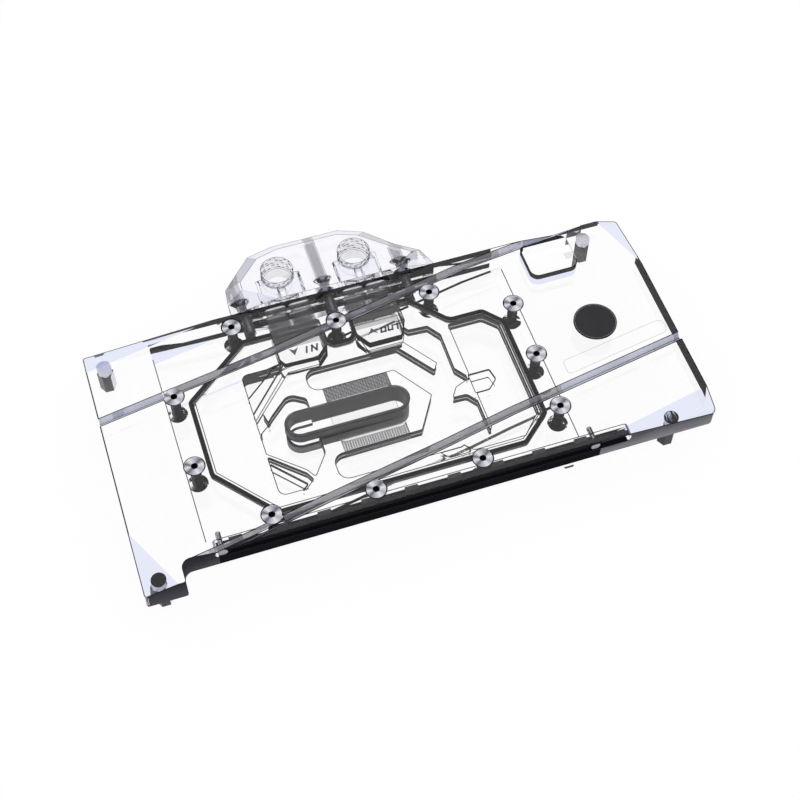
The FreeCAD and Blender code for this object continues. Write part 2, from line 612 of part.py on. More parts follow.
def make_cover():
    """Build the clear cover."""
    body = new_body("cover_slab")
    outline = new_sketch(body, "cover_outline", offset=COVER_BOTTOM)
    rounded_outline(outline, COVER_OUTLINE)
    pad(body, outline, "sizes.cover_thick")
    doc.recompute()
    chamber_pockets(body)
    screw_holes(body)
    cover_side_cuts(body)
    window = new_sketch(body, "connector_window", offset=COVER_TOP)
    rounded_outline(window, box_corners("sizes.window_left", "sizes.window_right",
                                        "sizes.window_front",
                                        "sizes.cover_back - sizes.window_bridge",
                                        "sizes.window_round"))
    pocket(body, window, "sizes.cover_thick")
    badge = new_sketch(body, "badge_recess", offset=COVER_TOP)
    circle(badge, "sizes.badge_x", "sizes.badge_y",
           "sizes.badge_diameter / 2 + sizes.fit_play")
    pocket(body, badge, "sizes.badge_thick")
    studs = new_sketch(body, "standoff_holes", offset=COVER_BOTTOM)
    for name in COVER_STANDOFFS:
        circle(studs, f"sizes.standoff_{name}_x", f"sizes.standoff_{name}_y",
               "sizes.standoff_stud_diameter / 2 + sizes.fit_play")
    pocket(body, studs, "sizes.standoff_stud_length + sizes.fit_play", reverse=True)

    loop = doc.addObject("Sketcher::SketchObject", "seal_wall")
    bind(loop, "Placement.Base.z", COVER_BOTTOM)
    rounded_outline(loop, SEAL_LOOP)
    ring = doc.addObject("Part::Offset2D", "seal_groove_area")
    ring.Source = loop
    bind(ring, "Value", "-sizes.seal_groove_width")
    ring.Fill = True
    groove = doc.addObject("Part::Extrusion", "seal_groove")
    groove.Base = ring
    groove.Dir = FreeCAD.Vector(0, 0, 1)
    groove.Solid = True
    bind(groove, "LengthFwd", "sizes.seal_groove_depth")

    tools = [groove, link_group("countersinks", countersink_tool("countersink"),
                                cover_screw_places())]
    for name, side_x, side_y in (("back_left", -1, 1), ("front_left", -1, -1),
                                 ("back_right", 1, 1), ("front_right", 1, -1)):
        tools.append(facet_tool(name + "_facet", side_x, side_y, f"sizes.{name}_run_x",
                                f"sizes.{name}_run_y", f"sizes.{name}_drop"))
    faceted = cut("faceted_cover", body, compound("cover_tools", tools))
    grooves = compound("groove_tools", [groove_tool("groove_back", GROOVE_BACK),
                                        groove_tool("groove_front", GROOVE_FRONT)])
    return cut("acrylic_cover", faceted, grooves), loop


def make_seal(loop):
    """Build the black cord that lies against the outer wall of its groove."""
    wall = doc.addObject("Part::Offset2D", "seal_outer")
    wall.Source = loop
    bind(wall, "Value", "-sizes.thread_play")
    area = doc.addObject("Part::Offset2D", "seal_area")
    area.Source = wall
    bind(area, "Value", "-sizes.seal_cord")
    area.Fill = True
    cord = doc.addObject("Part::Extrusion", "main_seal")
    cord.Label = "main_seal"
    cord.Base = area
    cord.Dir = FreeCAD.Vector(0, 0, 1)
    cord.Solid = True
    bind(cord, "LengthFwd", "sizes.seal_groove_depth")
    return cord


# Cold plate and jet parts

# Contact faces for memory chips and power stages: left, right, front, back
CONTACT_LANDS = [(-48, -34, -27, 27), (34, 48, -27, 27), (-24, 24, 34, 47), (56, 66, -34, 44)]


def make_plate():
    """Build the copper plate with its fins, screw holes and contact faces."""
    body = new_body("cold_plate")
    outline = new_sketch(body, "plate_outline", offset=PLATE_BOTTOM)
    rounded_outline(outline, [
        ("-sizes.plate_left + sizes.plate_corner", "-sizes.plate_front", 0.0),
        ("sizes.plate_right", "-sizes.plate_front", "sizes.plate_round"),
        ("sizes.plate_right", "sizes.plate_back", "sizes.plate_round"),
        ("-sizes.plate_left", "sizes.plate_back", "sizes.plate_round"),
        ("-sizes.plate_left", "-sizes.plate_front + sizes.plate_corner", 0.0),
    ])
    pad(body, outline, "sizes.plate_thick")
    pedestal = new_sketch(body, "pedestal", offset=PLATE_BOTTOM)
    rounded_outline(pedestal, box_corners("-sizes.pedestal_x / 2", "sizes.pedestal_x / 2",
                                          "-sizes.pedestal_y / 2", "sizes.pedestal_y / 2",
                                          "sizes.land_round"))
    pad(body, pedestal, "sizes.pedestal_rise", reverse=True)
    doc.recompute()
    lands = new_sketch(body, "contact_lands", offset=PLATE_BOTTOM)
    for left, right, front, back in CONTACT_LANDS:
        rounded_outline(lands, box_corners(left, right, front, back, "sizes.land_round"))
    pad(body, lands, "sizes.land_rise", reverse=True)
    doc.recompute()
    bosses = new_sketch(body, "chip_screw_bosses", offset=PLATE_BOTTOM)
    threads = new_sketch(body, "chip_screw_threads", offset="sizes.pedestal_rise - sizes.gpu_boss_rise")
    for x in ("-sizes.gpu_screw_pitch / 2", "sizes.gpu_screw_pitch / 2"):
        for y in ("-sizes.gpu_screw_pitch / 2", "sizes.gpu_screw_pitch / 2"):
            circle(bosses, x, y, "sizes.gpu_boss_diameter / 2")
            circle(threads, x, y, "sizes.gpu_thread_diameter / 2")
    pad(body, bosses, "sizes.gpu_boss_rise", reverse=True)
    doc.recompute()
    pocket(body, threads, "sizes.gpu_thread_depth", reverse=True)
    holes = new_sketch(body, "cover_screw_threads", offset=PLATE_TOP)
    for number in range(1, len(COVER_SCREWS) + 1):
        circle(holes, f"sizes.cover_screw_{number}_x", f"sizes.cover_screw_{number}_y",
               "sizes.screw_diameter / 2 + sizes.thread_play")
    pocket(body, holes, "sizes.cover_screw_length - sizes.cover_thick - sizes.face_gap + 0.5")
    stud = new_sketch(body, "plate_standoff_hole", offset=PLATE_BOTTOM)
    circle(stud, "sizes.standoff_plate_x", "sizes.standoff_plate_y",
           "sizes.plate_stud_diameter / 2 + sizes.thread_play")
    pocket(body, stud, "sizes.plate_stud_length + sizes.fit_play", reverse=True)
    seat = new_sketch(body, "jet_plate_seat", offset=PLATE_TOP)
    rounded_outline(seat, box_corners(
        f"-{JET_PLATE_HALF} - sizes.fit_play", f"{JET_PLATE_HALF} + sizes.fit_play",
        "-sizes.jet_plate_front - sizes.fit_play", "sizes.jet_plate_back + sizes.fit_play",
        "sizes.jet_plate_round"))
    pocket(body, seat, "sizes.jet_plate_thick")
    gap = new_sketch(body, "fin_gap_outline", offset=PLATE_TOP)
    rounded_outline(gap, box_corners("-sizes.fin_field_x / 2",
                                     "-sizes.fin_field_x / 2 + sizes.fin_gap",
                                     "-sizes.fin_field_front", "sizes.fin_field_back"))
    first = pocket(body, gap, "sizes.fin_depth")
    fins = body.newObject("PartDesign::LinearPattern", "fins")
    fins.Originals = [first]
    fins.Direction = (gap, ["H_Axis"])
    bind(fins, "Length", "sizes.fin_field_x - sizes.fin_gap")
    bind(fins, "Occurrences", "round((sizes.fin_field_x - sizes.fin_gap) / sizes.fin_pitch) + 1")
    body.Tip = fins
    doc.recompute()
    return body


def make_jet_plate():
    """Build the thin plate with the slit that spreads the water over the fins."""
    body = new_body("jet_plate")
    outline = new_sketch(body, "jet_outline", offset=f"{PLATE_TOP} - sizes.jet_plate_thick")
    rounded_outline(outline, box_corners(f"-{JET_PLATE_HALF}", JET_PLATE_HALF,
                                         "-sizes.jet_plate_front", "sizes.jet_plate_back",
                                         "sizes.jet_plate_round"))
    pad(body, outline, "sizes.jet_plate_thick")
    doc.recompute()
    slit = new_sketch(body, "jet_slit", offset=PLATE_TOP)
    stadium(slit, "-sizes.jet_slit_length / 2", "sizes.jet_slit_length / 2", 0.0,
            "sizes.jet_slit_width / 2")
    pocket(body, slit, "sizes.jet_plate_thick")
    return body


def make_collar():
    """Build the stadium ring that lines the jet pocket, open below at its inlet end."""
    body = new_body("jet_collar")
    ring = new_sketch(body, "collar_ring", offset=COVER_BOTTOM)
    outer = "sizes.fit_play"
    stadium(ring, f"-sizes.jet_left + {outer}", f"sizes.jet_right - {outer}",
            "sizes.jet_centre_y", f"sizes.jet_radius - {outer}")
    inner = "(sizes.fit_play + sizes.collar_wall)"
    stadium(ring, f"-sizes.jet_left + {inner}", f"sizes.jet_right - {inner}",
            "sizes.jet_centre_y", f"sizes.jet_radius - {inner}")
    pad(body, ring, "sizes.jet_depth - sizes.fit_play")
    doc.recompute()
    gap = new_sketch(body, "collar_inlet_gap", offset=COVER_BOTTOM)
    rounded_outline(gap, box_corners("-sizes.jet_left - sizes.jet_radius", "-sizes.collar_gap_right",
                                     "sizes.jet_centre_y - 2 * sizes.jet_radius",
                                     "sizes.jet_centre_y + 2 * sizes.jet_radius"))
    pocket(body, gap, "sizes.left_depth", reverse=True)
    return body


# Screws


def make_screw(label, length):
    """Build a countersunk hex socket screw that hangs down from the top of its head."""
    body = new_body(label)
    profile = new_sketch(body, label + "_profile", "XZ_Plane")
    head, shank = "sizes.screw_head / 2", "sizes.screw_diameter / 2"
    cone_end = f"-sizes.screw_rim - ({head} - {shank})"
    polyline(profile, [(0.0, 0.0), (head, 0.0), (head, "-sizes.screw_rim"), (shank, cone_end),
                       (shank, f"-{length} + 0.5"), (f"{shank} - 0.5", f"-{length}"),
                       (0.0, f"-{length}")])
    turned = body.newObject("PartDesign::Revolution", label + "_turned")
    turned.Profile = profile
    turned.ReferenceAxis = (profile, ["V_Axis"])
    turned.Angle = 360
    doc.recompute()
    socket = new_sketch(body, label + "_socket")
    reach = value_of("sizes.screw_socket") / math.sqrt(3)
    points = [(reach * math.cos(math.radians(60 * i)), reach * math.sin(math.radians(60 * i)))
              for i in range(6)]
    polyline(socket, points)
    pocket(body, socket, "sizes.socket_depth")
    return body


def make_screw_groups():
    """Place the cover screws upright and the terminal screws along -Y."""
    cover_screw = make_screw("cover_screw", "sizes.cover_screw_length")
    terminal_screw = make_screw("terminal_screw", "sizes.terminal_screw_length")
    return [link_group("cover_screws", cover_screw, cover_screw_places()),
            link_group("terminal_screws", terminal_screw, terminal_screw_places())]


# Terminal block

TERMINAL_WALL = [
    (-38.0, "sizes.cover_back"), (-38.0, 62.0), (-37.2, 68.8), (-24.6, 82.4), (-14.0, 84.8),
    (14.0, 84.8), (24.0, 80.8), (34.0, 71.0), (43.0, 64.6), (46.3, "sizes.cover_back"),
]
TERMINAL_ROOF = [
    (-18.7, "sizes.cover_back"), (-31.1, 64.9), (-31.0, 68.4), (-21.6, 78.0), (-12.5, 80.2),
    (12.5, 80.2), (20.5, 77.2), (30.6, 68.4), (38.9, 62.4), (30.6, "sizes.cover_back"),
]


def make_terminal():
    """Build the terminal block with its facets, ports, channels and screw holes."""
    body = new_body("terminal_body")
    wall = new_sketch(body, "terminal_wall", offset="sizes.terminal_bottom")
    polyline(wall, TERMINAL_WALL)
    pad(body, wall, "sizes.terminal_shoulder - sizes.terminal_bottom")
    shoulder = new_sketch(body, "terminal_shoulder_outline", offset="sizes.terminal_shoulder")
    polyline(shoulder, TERMINAL_WALL)
    roof = new_sketch(body, "terminal_roof", offset="sizes.terminal_top")
    polyline(roof, TERMINAL_ROOF)
    doc.recompute()
    facets = body.newObject("PartDesign::AdditiveLoft", "terminal_facets")
    facets.Profile = shoulder
    facets.Sections = [roof]
    facets.Ruled = True
    doc.recompute()
    ports = new_sketch(body, "port_threads", offset="sizes.terminal_top")
    wells = new_sketch(body, "port_chambers", offset="sizes.terminal_top")
    for x in ("sizes.inlet_x", "sizes.outlet_x"):
        circle(ports, x, "sizes.port_y", "sizes.port_diameter / 2")
        circle(wells, x, "sizes.port_y", "sizes.port_chamber_diameter / 2")
    pocket(body, ports, "sizes.port_thread_depth")
    pocket(body, wells, "sizes.port_chamber_depth")
    face = "-sizes.cover_back"
    slots = new_sketch(body, "terminal_slots", "XZ_Plane", face)
    seats = new_sketch(body, "port_seal_seats", "XZ_Plane", face)
    for x in ("sizes.inlet_x", "sizes.outlet_x"):
        for side in (-1, 1):
            middle = f"{x} + {side} * sizes.slot_spacing / 2"
            stadium(slots, f"{middle} - sizes.slot_width / 2", f"{middle} + sizes.slot_width / 2",
                    "sizes.slot_centre_z", "sizes.slot_height / 2")
        seal_ring(seats, x, "0")
    pocket(body, slots, "sizes.port_y - sizes.cover_back")
    pocket(body, seats, "sizes.port_seal_depth")
    holes = new_sketch(body, "terminal_holes", "XZ_Plane", face)
    bores = new_sketch(body, "terminal_counterbores", "XZ_Plane", "-sizes.terminal_screw_y")
    for number in range(1, len(TERMINAL_SCREWS) + 1):
        x = f"sizes.terminal_screw_{number}_x"
        circle(holes, x, "sizes.terminal_screw_z", "sizes.screw_diameter / 2 + sizes.fit_play")
        circle(bores, x, "sizes.terminal_screw_z", "sizes.counterbore_diameter / 2")
    pocket(body, holes, "sizes.terminal_screw_y - sizes.cover_back")
    pocket(body, bores, 30)
    sinks = link_group("terminal_sinks", countersink_tool("terminal_sink"),
                       terminal_screw_places())
    return cut("terminal_block", body, sinks)


def seal_ring(sketch, x, shrink):
    """Draw the ring outline of a port seal, inside and outside."""
    half = "(sizes.slot_spacing / 2 + sizes.slot_width / 2 + sizes.port_seal_margin)"
    for grow in (f"(sizes.port_seal_cord - {shrink})", shrink):
        radius = f"sizes.slot_height / 2 + sizes.port_seal_margin / 2 + {grow}"
        stadium(sketch, f"{x} - {half} + sizes.port_seal_margin / 2 - {grow}",
                f"{x} + {half} - sizes.port_seal_margin / 2 + {grow}",
                "sizes.slot_centre_z", radius)


def make_port_seal(label, x):
    """Build one port seal in its seat in the terminal block's mating face."""
    body = new_body(label)
    ring = new_sketch(body, label + "_ring", "XZ_Plane", "-sizes.cover_back")
    seal_ring(ring, x, "sizes.thread_play")
    pad(body, ring, "sizes.port_seal_depth - sizes.thread_play", reverse=True)
    return body


# Light strip

STRIP_Z = f"({COVER_BOTTOM} + sizes.led_slot_rise + sizes.led_slot_height / 2)"
BOARD_FRONT = "(-sizes.cover_front + sizes.board_inset)"


def make_board():
    """Build the light strip's board with its two screw holes."""
    body = new_body("led_board")
    outline = new_sketch(body, "board_outline", "XZ_Plane", f"-{BOARD_FRONT}")
    rounded_outline(outline, box_corners("-sizes.board_left", "sizes.board_right",
                                         f"{STRIP_Z} - sizes.board_height / 2",
                                         f"{STRIP_Z} + sizes.board_height / 2", 1.2))
    for x in ("sizes.led_screw_left", "sizes.led_screw_right"):
        circle(outline, x, STRIP_Z, "sizes.led_screw_diameter / 2 + sizes.fit_play")
    pad(body, outline, "sizes.board_thick", reverse=True)
    return body


def make_leds():
    """Place the light-emitting diodes on the inner side of the board."""
    leds = []
    for number in range(LED_COUNT):
        label = f"led_{number + 1}"
        led = primitive("Part::Box", label, Length="sizes.led_width", Width="sizes.led_depth",
                        Height="sizes.led_height")
        led.Label = label
        place(led, f"sizes.led_first_x + {number} * sizes.led_pitch - sizes.led_width / 2",
              f"{BOARD_FRONT} + sizes.board_thick", f"{STRIP_Z} - sizes.led_height / 2")
        leds.append(led)
    return leds


def make_led_screws():
    """Place the two small pan-head screws that hold the board."""
    screw = new_body("led_screw")
    profile = new_sketch(screw, "led_screw_profile", "XZ_Plane")
    head, shank = "sizes.led_screw_head / 2", "sizes.led_screw_diameter / 2"
    polyline(profile, [(0.0, "sizes.led_screw_head_thick"), (head, "sizes.led_screw_head_thick"),
                       (head, 0.0), (shank, 0.0),
                       (shank, "-sizes.led_screw_length - sizes.board_thick"),
                       (0.0, "-sizes.led_screw_length - sizes.board_thick")])
    turned = screw.newObject("PartDesign::Revolution", "led_screw_turned")
    turned.Profile = profile
    turned.ReferenceAxis = (profile, ["V_Axis"])
    turned.Angle = 360
    doc.recompute()
    inward = FreeCAD.Rotation(FreeCAD.Vector(1, 0, 0), 90)
    return link_group("led_screws", screw, [
        (x, BOARD_FRONT, STRIP_Z, inward)
        for x in ("sizes.led_screw_left", "sizes.led_screw_right")])


# Badge and standoffs


def make_badge():
    """Build the bare black disc in the cover's recess."""
    disc = primitive("Part::Cylinder", "badge_disc", Radius="sizes.badge_diameter / 2",
                     Height="sizes.badge_thick")
    disc.Label = "badge_disc"
    place(disc, "sizes.badge_x", "sizes.badge_y", f"{COVER_TOP} - sizes.badge_thick")
    return disc


def make_standoff(name, top, reach, stud_diameter, stud_length, thread_depth):
    """Build one hexagonal post with a stud above and a thread below."""
    label = f"standoff_{name}"
    post = primitive("Part::Prism", label + "_post",
                     Circumradius="sizes.standoff_flats / sqrt(3)", Height=reach)
    post.Polygon = 6
    stud = primitive("Part::Cylinder", label + "_stud", Radius=f"({stud_diameter}) / 2",
                     Height=f"{reach} + {stud_length}")
    thread = primitive("Part::Cylinder", label + "_thread",
                       Radius="sizes.standoff_thread_diameter / 2", Height=thread_depth)
    piece = cut(label, fuse(label + "_blank", post, stud), thread)
    place(piece, f"sizes.standoff_{name}_x", f"sizes.standoff_{name}_y", f"{top} - ({reach})")
    return piece


def make_standoffs():
    """Build the four posts under the cover and the one under the plate's corner."""
    posts = [make_standoff(name, COVER_BOTTOM, "sizes.standoff_reach",
                           "sizes.standoff_stud_diameter", "sizes.standoff_stud_length",
                           "sizes.standoff_thread_depth")
             for name in COVER_STANDOFFS]
    short = "(sizes.standoff_reach - sizes.face_gap - sizes.plate_thick)"
    posts.append(make_standoff("plate", PLATE_BOTTOM, short, "sizes.plate_stud_diameter",
                               "sizes.plate_stud_length", "sizes.plate_thread_depth"))
    return posts


def check_and_export(pieces):
    """Stop on any failed object, then write each piece to its own file."""
    doc.recompute()
    for item in doc.Objects:
        if "Invalid" in item.State or "Error" in item.State:
            raise RuntimeError(f"{item.Name} failed: {item.State}")
    for piece in pieces:
        if piece.Shape.isNull() or not piece.Shape.isValid():
            raise RuntimeError(f"{piece.Label} has no valid shape")
    os.makedirs("parts", exist_ok=True)
    for piece in pieces:
        piece.Shape.exportStep(f"parts/{piece.Label}.step")
        print(piece.Label, len(piece.Shape.Solids), round(piece.Shape.Volume, 1))


cover, seal_wall = make_cover()
pieces = [cover, make_seal(seal_wall), make_plate(), make_jet_plate(), make_collar(),
          make_terminal(), make_port_seal("inlet_seal", "sizes.inlet_x"),
          make_port_seal("outlet_seal", "sizes.outlet_x")]
pieces.extend(make_screw_groups())
pieces.append(make_board())
pieces.extend(make_leds())
pieces.append(make_led_screws())
pieces.append(make_badge())
pieces.extend(make_standoffs())
check_and_export(pieces)
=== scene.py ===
import logging
import math
from collections.abc import Iterable
from dataclasses import dataclass, field
from enum import Enum

import bmesh
import bpy
from mathutils import Matrix, Vector


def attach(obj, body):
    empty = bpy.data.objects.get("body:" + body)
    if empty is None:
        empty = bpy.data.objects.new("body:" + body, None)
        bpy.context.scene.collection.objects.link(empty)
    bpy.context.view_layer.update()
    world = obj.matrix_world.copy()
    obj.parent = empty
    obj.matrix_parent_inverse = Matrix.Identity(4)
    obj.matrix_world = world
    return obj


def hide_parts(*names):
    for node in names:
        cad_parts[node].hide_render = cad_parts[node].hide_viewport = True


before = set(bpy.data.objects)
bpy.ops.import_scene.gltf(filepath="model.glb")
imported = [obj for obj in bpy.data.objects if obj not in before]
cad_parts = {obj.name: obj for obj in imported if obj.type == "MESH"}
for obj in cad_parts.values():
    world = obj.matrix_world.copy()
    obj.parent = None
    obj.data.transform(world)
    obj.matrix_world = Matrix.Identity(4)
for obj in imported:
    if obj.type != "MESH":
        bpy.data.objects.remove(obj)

log = logging.getLogger("water_block")

MM = 0.001
WHITE = "#ffffff"
ACRYLIC_IOR = 1.49
RELIEF_MM = 0.05
# A wave texture repeats every 0.314 / scale metres
WAVE_LENGTH = 0.314

# The cover's box in millimetres
COVER_TOP = 17.2
COVER_BOTTOM = 6.7
COVER_LEFT = -98.0
COVER_RIGHT = 126.2


def srgb(code: str, alpha: float = 1.0) -> tuple[float, float, float, float]:
    """Turn an sRGB hex colour into the linear colour that a shader socket takes.

    Args:
        code: Six hex digits, with or without a leading hash.
        alpha: The fourth value.

    Returns:
        Linear red, green and blue, and alpha.
    """
    digits = code.lstrip("#")
    channels = [int(digits[i:i + 2], 16) / 255 for i in (0, 2, 4)]
    linear = [c / 12.92 if c <= 0.04045 else ((c + 0.055) / 1.055) ** 2.4 for c in channels]
    return (linear[0], linear[1], linear[2], alpha)


def add_node(tree: bpy.types.NodeTree, kind: str, settings: dict | None = None,
             links: dict | None = None) -> bpy.types.Node:
    """Add one node, set its properties or sockets and link its inputs.

    Args:
        tree: The node tree that gets the node.
        kind: Blender's type name of the node.
        settings: Property or input socket names with their values.
        links: Input socket names or numbers with the output sockets that feed them.

    Returns:
        The new node.
    """
    node = tree.nodes.new(kind)
    for name, value in (settings or {}).items():
        if isinstance(name, int) or name in node.inputs:
            node.inputs[name].default_value = value
        else:
            setattr(node, name, value)
    for name, output in (links or {}).items():
        tree.links.new(output, node.inputs[name])
    return node


class Body(Enum):
    """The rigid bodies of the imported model."""

    ROOT = "root"


class Slot(Enum):
    """The record's material slots."""

    ACRYLIC = "clear_acrylic"
    NICKEL = "nickel_plated_copper"
    STAINLESS = "stainless_steel"
    SILICONE = "dark_silicone"
    RUBBER = "black_rubber"
    SCREWS = "bright_screws"
    BLACK_METAL = "black_metal"
    BOARD = "circuit_board"
    LED = "led_lens"
    BADGE = "gloss_black"


@dataclass(frozen=True)
class Finish:
    """The base of every finish: a named material with a fresh node tree."""

    name: str

    def surface(self, tree: bpy.types.NodeTree) -> bpy.types.NodeSocket:
        """Make the finish's shader; each finish has its own."""
        raise NotImplementedError

    def build(self) -> bpy.types.Material:
        """Make the material.

        Returns:
            The material, with the finish's shader as its surface.
        """
        material = bpy.data.materials.new(self.name)
        material.use_nodes = True
        tree = material.node_tree
        tree.nodes.clear()
        add_node(tree, "ShaderNodeOutputMaterial", {}, {"Surface": self.surface(tree)})
        return material

    def coordinates(self, tree: bpy.types.NodeTree) -> bpy.types.NodeSocket:
        """Return object coordinates, which are metres in the row frame."""
        return add_node(tree, "ShaderNodeTexCoord").outputs["Object"]

    def inside_span(self, tree: bpy.types.NodeTree, along: bpy.types.NodeSocket,
                    span: tuple[float, float]) -> bpy.types.NodeSocket:
        """Give 1 where a coordinate lies between two places.

        Args:
            tree: The node tree.
            along: The coordinate in metres.
            span: The two places in millimetres.

        Returns:
            The socket with 1 inside the span and 0 outside it.
        """
        middle, half = (span[0] + span[1]) / 2 * MM, (span[1] - span[0]) / 2 * MM
        return add_node(tree, "ShaderNodeMath", {"operation": "COMPARE", 1: middle, 2: half},
                        {0: along}).outputs[0]


@dataclass(frozen=True)
class CastAcrylic(Finish):
    """Cast acrylic, milled and flame polished: clear and glossy, with a tint that can be set."""

    tint: str = WHITE
    roughness: float = 0.0
    ior: float = ACRYLIC_IOR
    haze_mm: float = 9.0
    haze: float = 0.012

    def surface(self, tree: bpy.types.NodeTree) -> bpy.types.NodeSocket:
        """Make the clear material, with the faint haze that polishing leaves.

        Args:
            tree: The material's node tree.

        Returns:
            The shader socket.
        """
        haze = add_node(tree, "ShaderNodeTexNoise",
                        {"Scale": 1 / (self.haze_mm * MM), "Detail": 2.0},
                        {"Vector": self.coordinates(tree)})
        rough = add_node(tree, "ShaderNodeMapRange",
                         {"From Min": 0.45, "From Max": 0.75, "To Min": self.roughness,
                          "To Max": self.roughness + self.haze}, {"Value": haze.outputs["Fac"]})
        glass = add_node(tree, "ShaderNodeBsdfPrincipled",
                         {"Base Color": srgb(self.tint), "IOR": self.ior,
                          "Transmission Weight": 1.0}, {"Roughness": rough.outputs["Result"]})
        return glass.outputs["BSDF"]


@dataclass(frozen=True)
class MilledWall(Finish):
    """A milled or polished wall of the acrylic, painted dark: painted shade for the light that the wall traps.

    It is dark only seen from the air unless both is set, and only above low_mm and, where a
    span is given, only between its two ends along one axis.
    """

    dark: str = "#29292d"
    pale: str = "#38383d"
    tint: str = WHITE
    share: float = 1.0
    both: bool = False
    low_mm: float = 0.0
    span_axis: str = "X"
    span_mm: tuple[float, float] | None = None
    gap_mm: tuple[float, float] | None = None
    glassy: bool = False
    roughness: float = 0.15
    blotch_mm: float = 3.0

    def surface(self, tree: bpy.types.NodeTree) -> bpy.types.NodeSocket:
        """Make the wall from a painted dark shade and a clear part, mixed by side and place.

        Args:
            tree: The material's node tree.

        Returns:
            The shader socket.
        """
        place = self.coordinates(tree)
        # Soft blotches of paler and darker painted shade across the wall
        marks = add_node(tree, "ShaderNodeTexNoise",
                         {"Scale": 1 / (self.blotch_mm * MM), "Detail": 1.0},
                         {"Vector": place})
        shade = add_node(tree, "ShaderNodeMix",
                         {"data_type": "RGBA", 6: srgb(self.dark), 7: srgb(self.pale)},
                         {0: marks.outputs["Fac"]})
        wall = add_node(tree, "ShaderNodeBsdfPrincipled",
                        {"Roughness": self.roughness, "Specular IOR Level": 0.0},
                        {"Base Color": shade.outputs[2]})
        if self.glassy:
            clear = add_node(tree, "ShaderNodeBsdfPrincipled",
                             {"Base Color": srgb(self.tint), "IOR": ACRYLIC_IOR, "Roughness": 0.0,
                              "Transmission Weight": 1.0}).outputs["BSDF"]
        else:
            clear = add_node(tree, "ShaderNodeBsdfTransparent",
                             {"Color": srgb(self.tint)}).outputs["BSDF"]
        axes = add_node(tree, "ShaderNodeSeparateXYZ", {}, {"Vector": place})
        part = add_node(tree, "ShaderNodeMath",
                        {"operation": "GREATER_THAN", 1: self.low_mm * MM},
                        {0: axes.outputs["Z"]}).outputs[0]
        along = axes.outputs[self.span_axis]
        if self.span_mm:
            part = add_node(tree, "ShaderNodeMath", {"operation": "MULTIPLY"},
                            {0: part, 1: self.inside_span(tree, along, self.span_mm)}).outputs[0]
        if self.gap_mm:
            part = add_node(tree, "ShaderNodeMath", {"operation": "SUBTRACT", "use_clamp": True},
                            {0: part, 1: self.inside_span(tree, along, self.gap_mm)}).outputs[0]
        if not self.both:
            side = add_node(tree, "ShaderNodeNewGeometry").outputs["Backfacing"]
            part = add_node(tree, "ShaderNodeMath", {"operation": "SUBTRACT", "use_clamp": True},
                            {0: part, 1: side}).outputs[0]
        part = add_node(tree, "ShaderNodeMath", {"operation": "MULTIPLY", 1: self.share},
                        {0: part}).outputs[0]
        mix = add_node(tree, "ShaderNodeMixShader", {}, {0: part, 1: clear, 2: wall.outputs[0]})
        return mix.outputs["Shader"]


@dataclass(frozen=True)
class EngravedGroove(Finish):
    """A V groove milled in the top: milky lavender, and grey where the bright plate is below, which is painted
    shade.
    """

    outside: str = "#c3c6da"
    over_plate_shade: str = "#85858c"
    share: float = 0.78
    plate_mm: tuple[float, float] = (-72.3, 73.4)
    blotch_mm: float = 12.0

    def surface(self, tree: bpy.types.NodeTree) -> bpy.types.NodeSocket:
        """Make the milky groove, its shade drifting a little along its length.

        Args:
            tree: The material's node tree.

        Returns:
            The shader socket.
        """
        place = self.coordinates(tree)
        along = add_node(tree, "ShaderNodeSeparateXYZ", {}, {"Vector": place}).outputs["X"]
        drift = add_node(tree, "ShaderNodeTexNoise",
                         {"Scale": 1 / (self.blotch_mm * MM), "Detail": 0.0}, {"Vector": place})
        base = add_node(tree, "ShaderNodeMix",
                        {"data_type": "RGBA", 6: srgb(self.outside), 7: srgb(self.over_plate_shade)},
                        {0: self.inside_span(tree, along, self.plate_mm)})
        shade = add_node(tree, "ShaderNodeMix",
                         {"data_type": "RGBA", "blend_type": "MULTIPLY", 7: srgb("#c9c9d4")},
                         {0: drift.outputs["Fac"], 6: base.outputs[2]})
        milky = add_node(tree, "ShaderNodeBsdfPrincipled", {"Roughness": 0.3},
                         {"Base Color": shade.outputs[2]})
        glass = add_node(tree, "ShaderNodeBsdfPrincipled",
                         {"Base Color": srgb(WHITE), "IOR": ACRYLIC_IOR, "Roughness": 0.05,
                          "Transmission Weight": 1.0})
        mirrored = add_node(tree, "ShaderNodeLightPath").outputs["Glossy Depth"]
        part = add_node(tree, "ShaderNodeMath",
                        {"operation": "MULTIPLY_ADD", "use_clamp": True, 1: -self.share,
                         2: self.share}, {0: mirrored})
        mix = add_node(tree, "ShaderNodeMixShader", {},
                       {0: part.outputs[0], 1: glass.outputs["BSDF"],
                        2: milky.outputs["BSDF"]})
        return mix.outputs["Shader"]


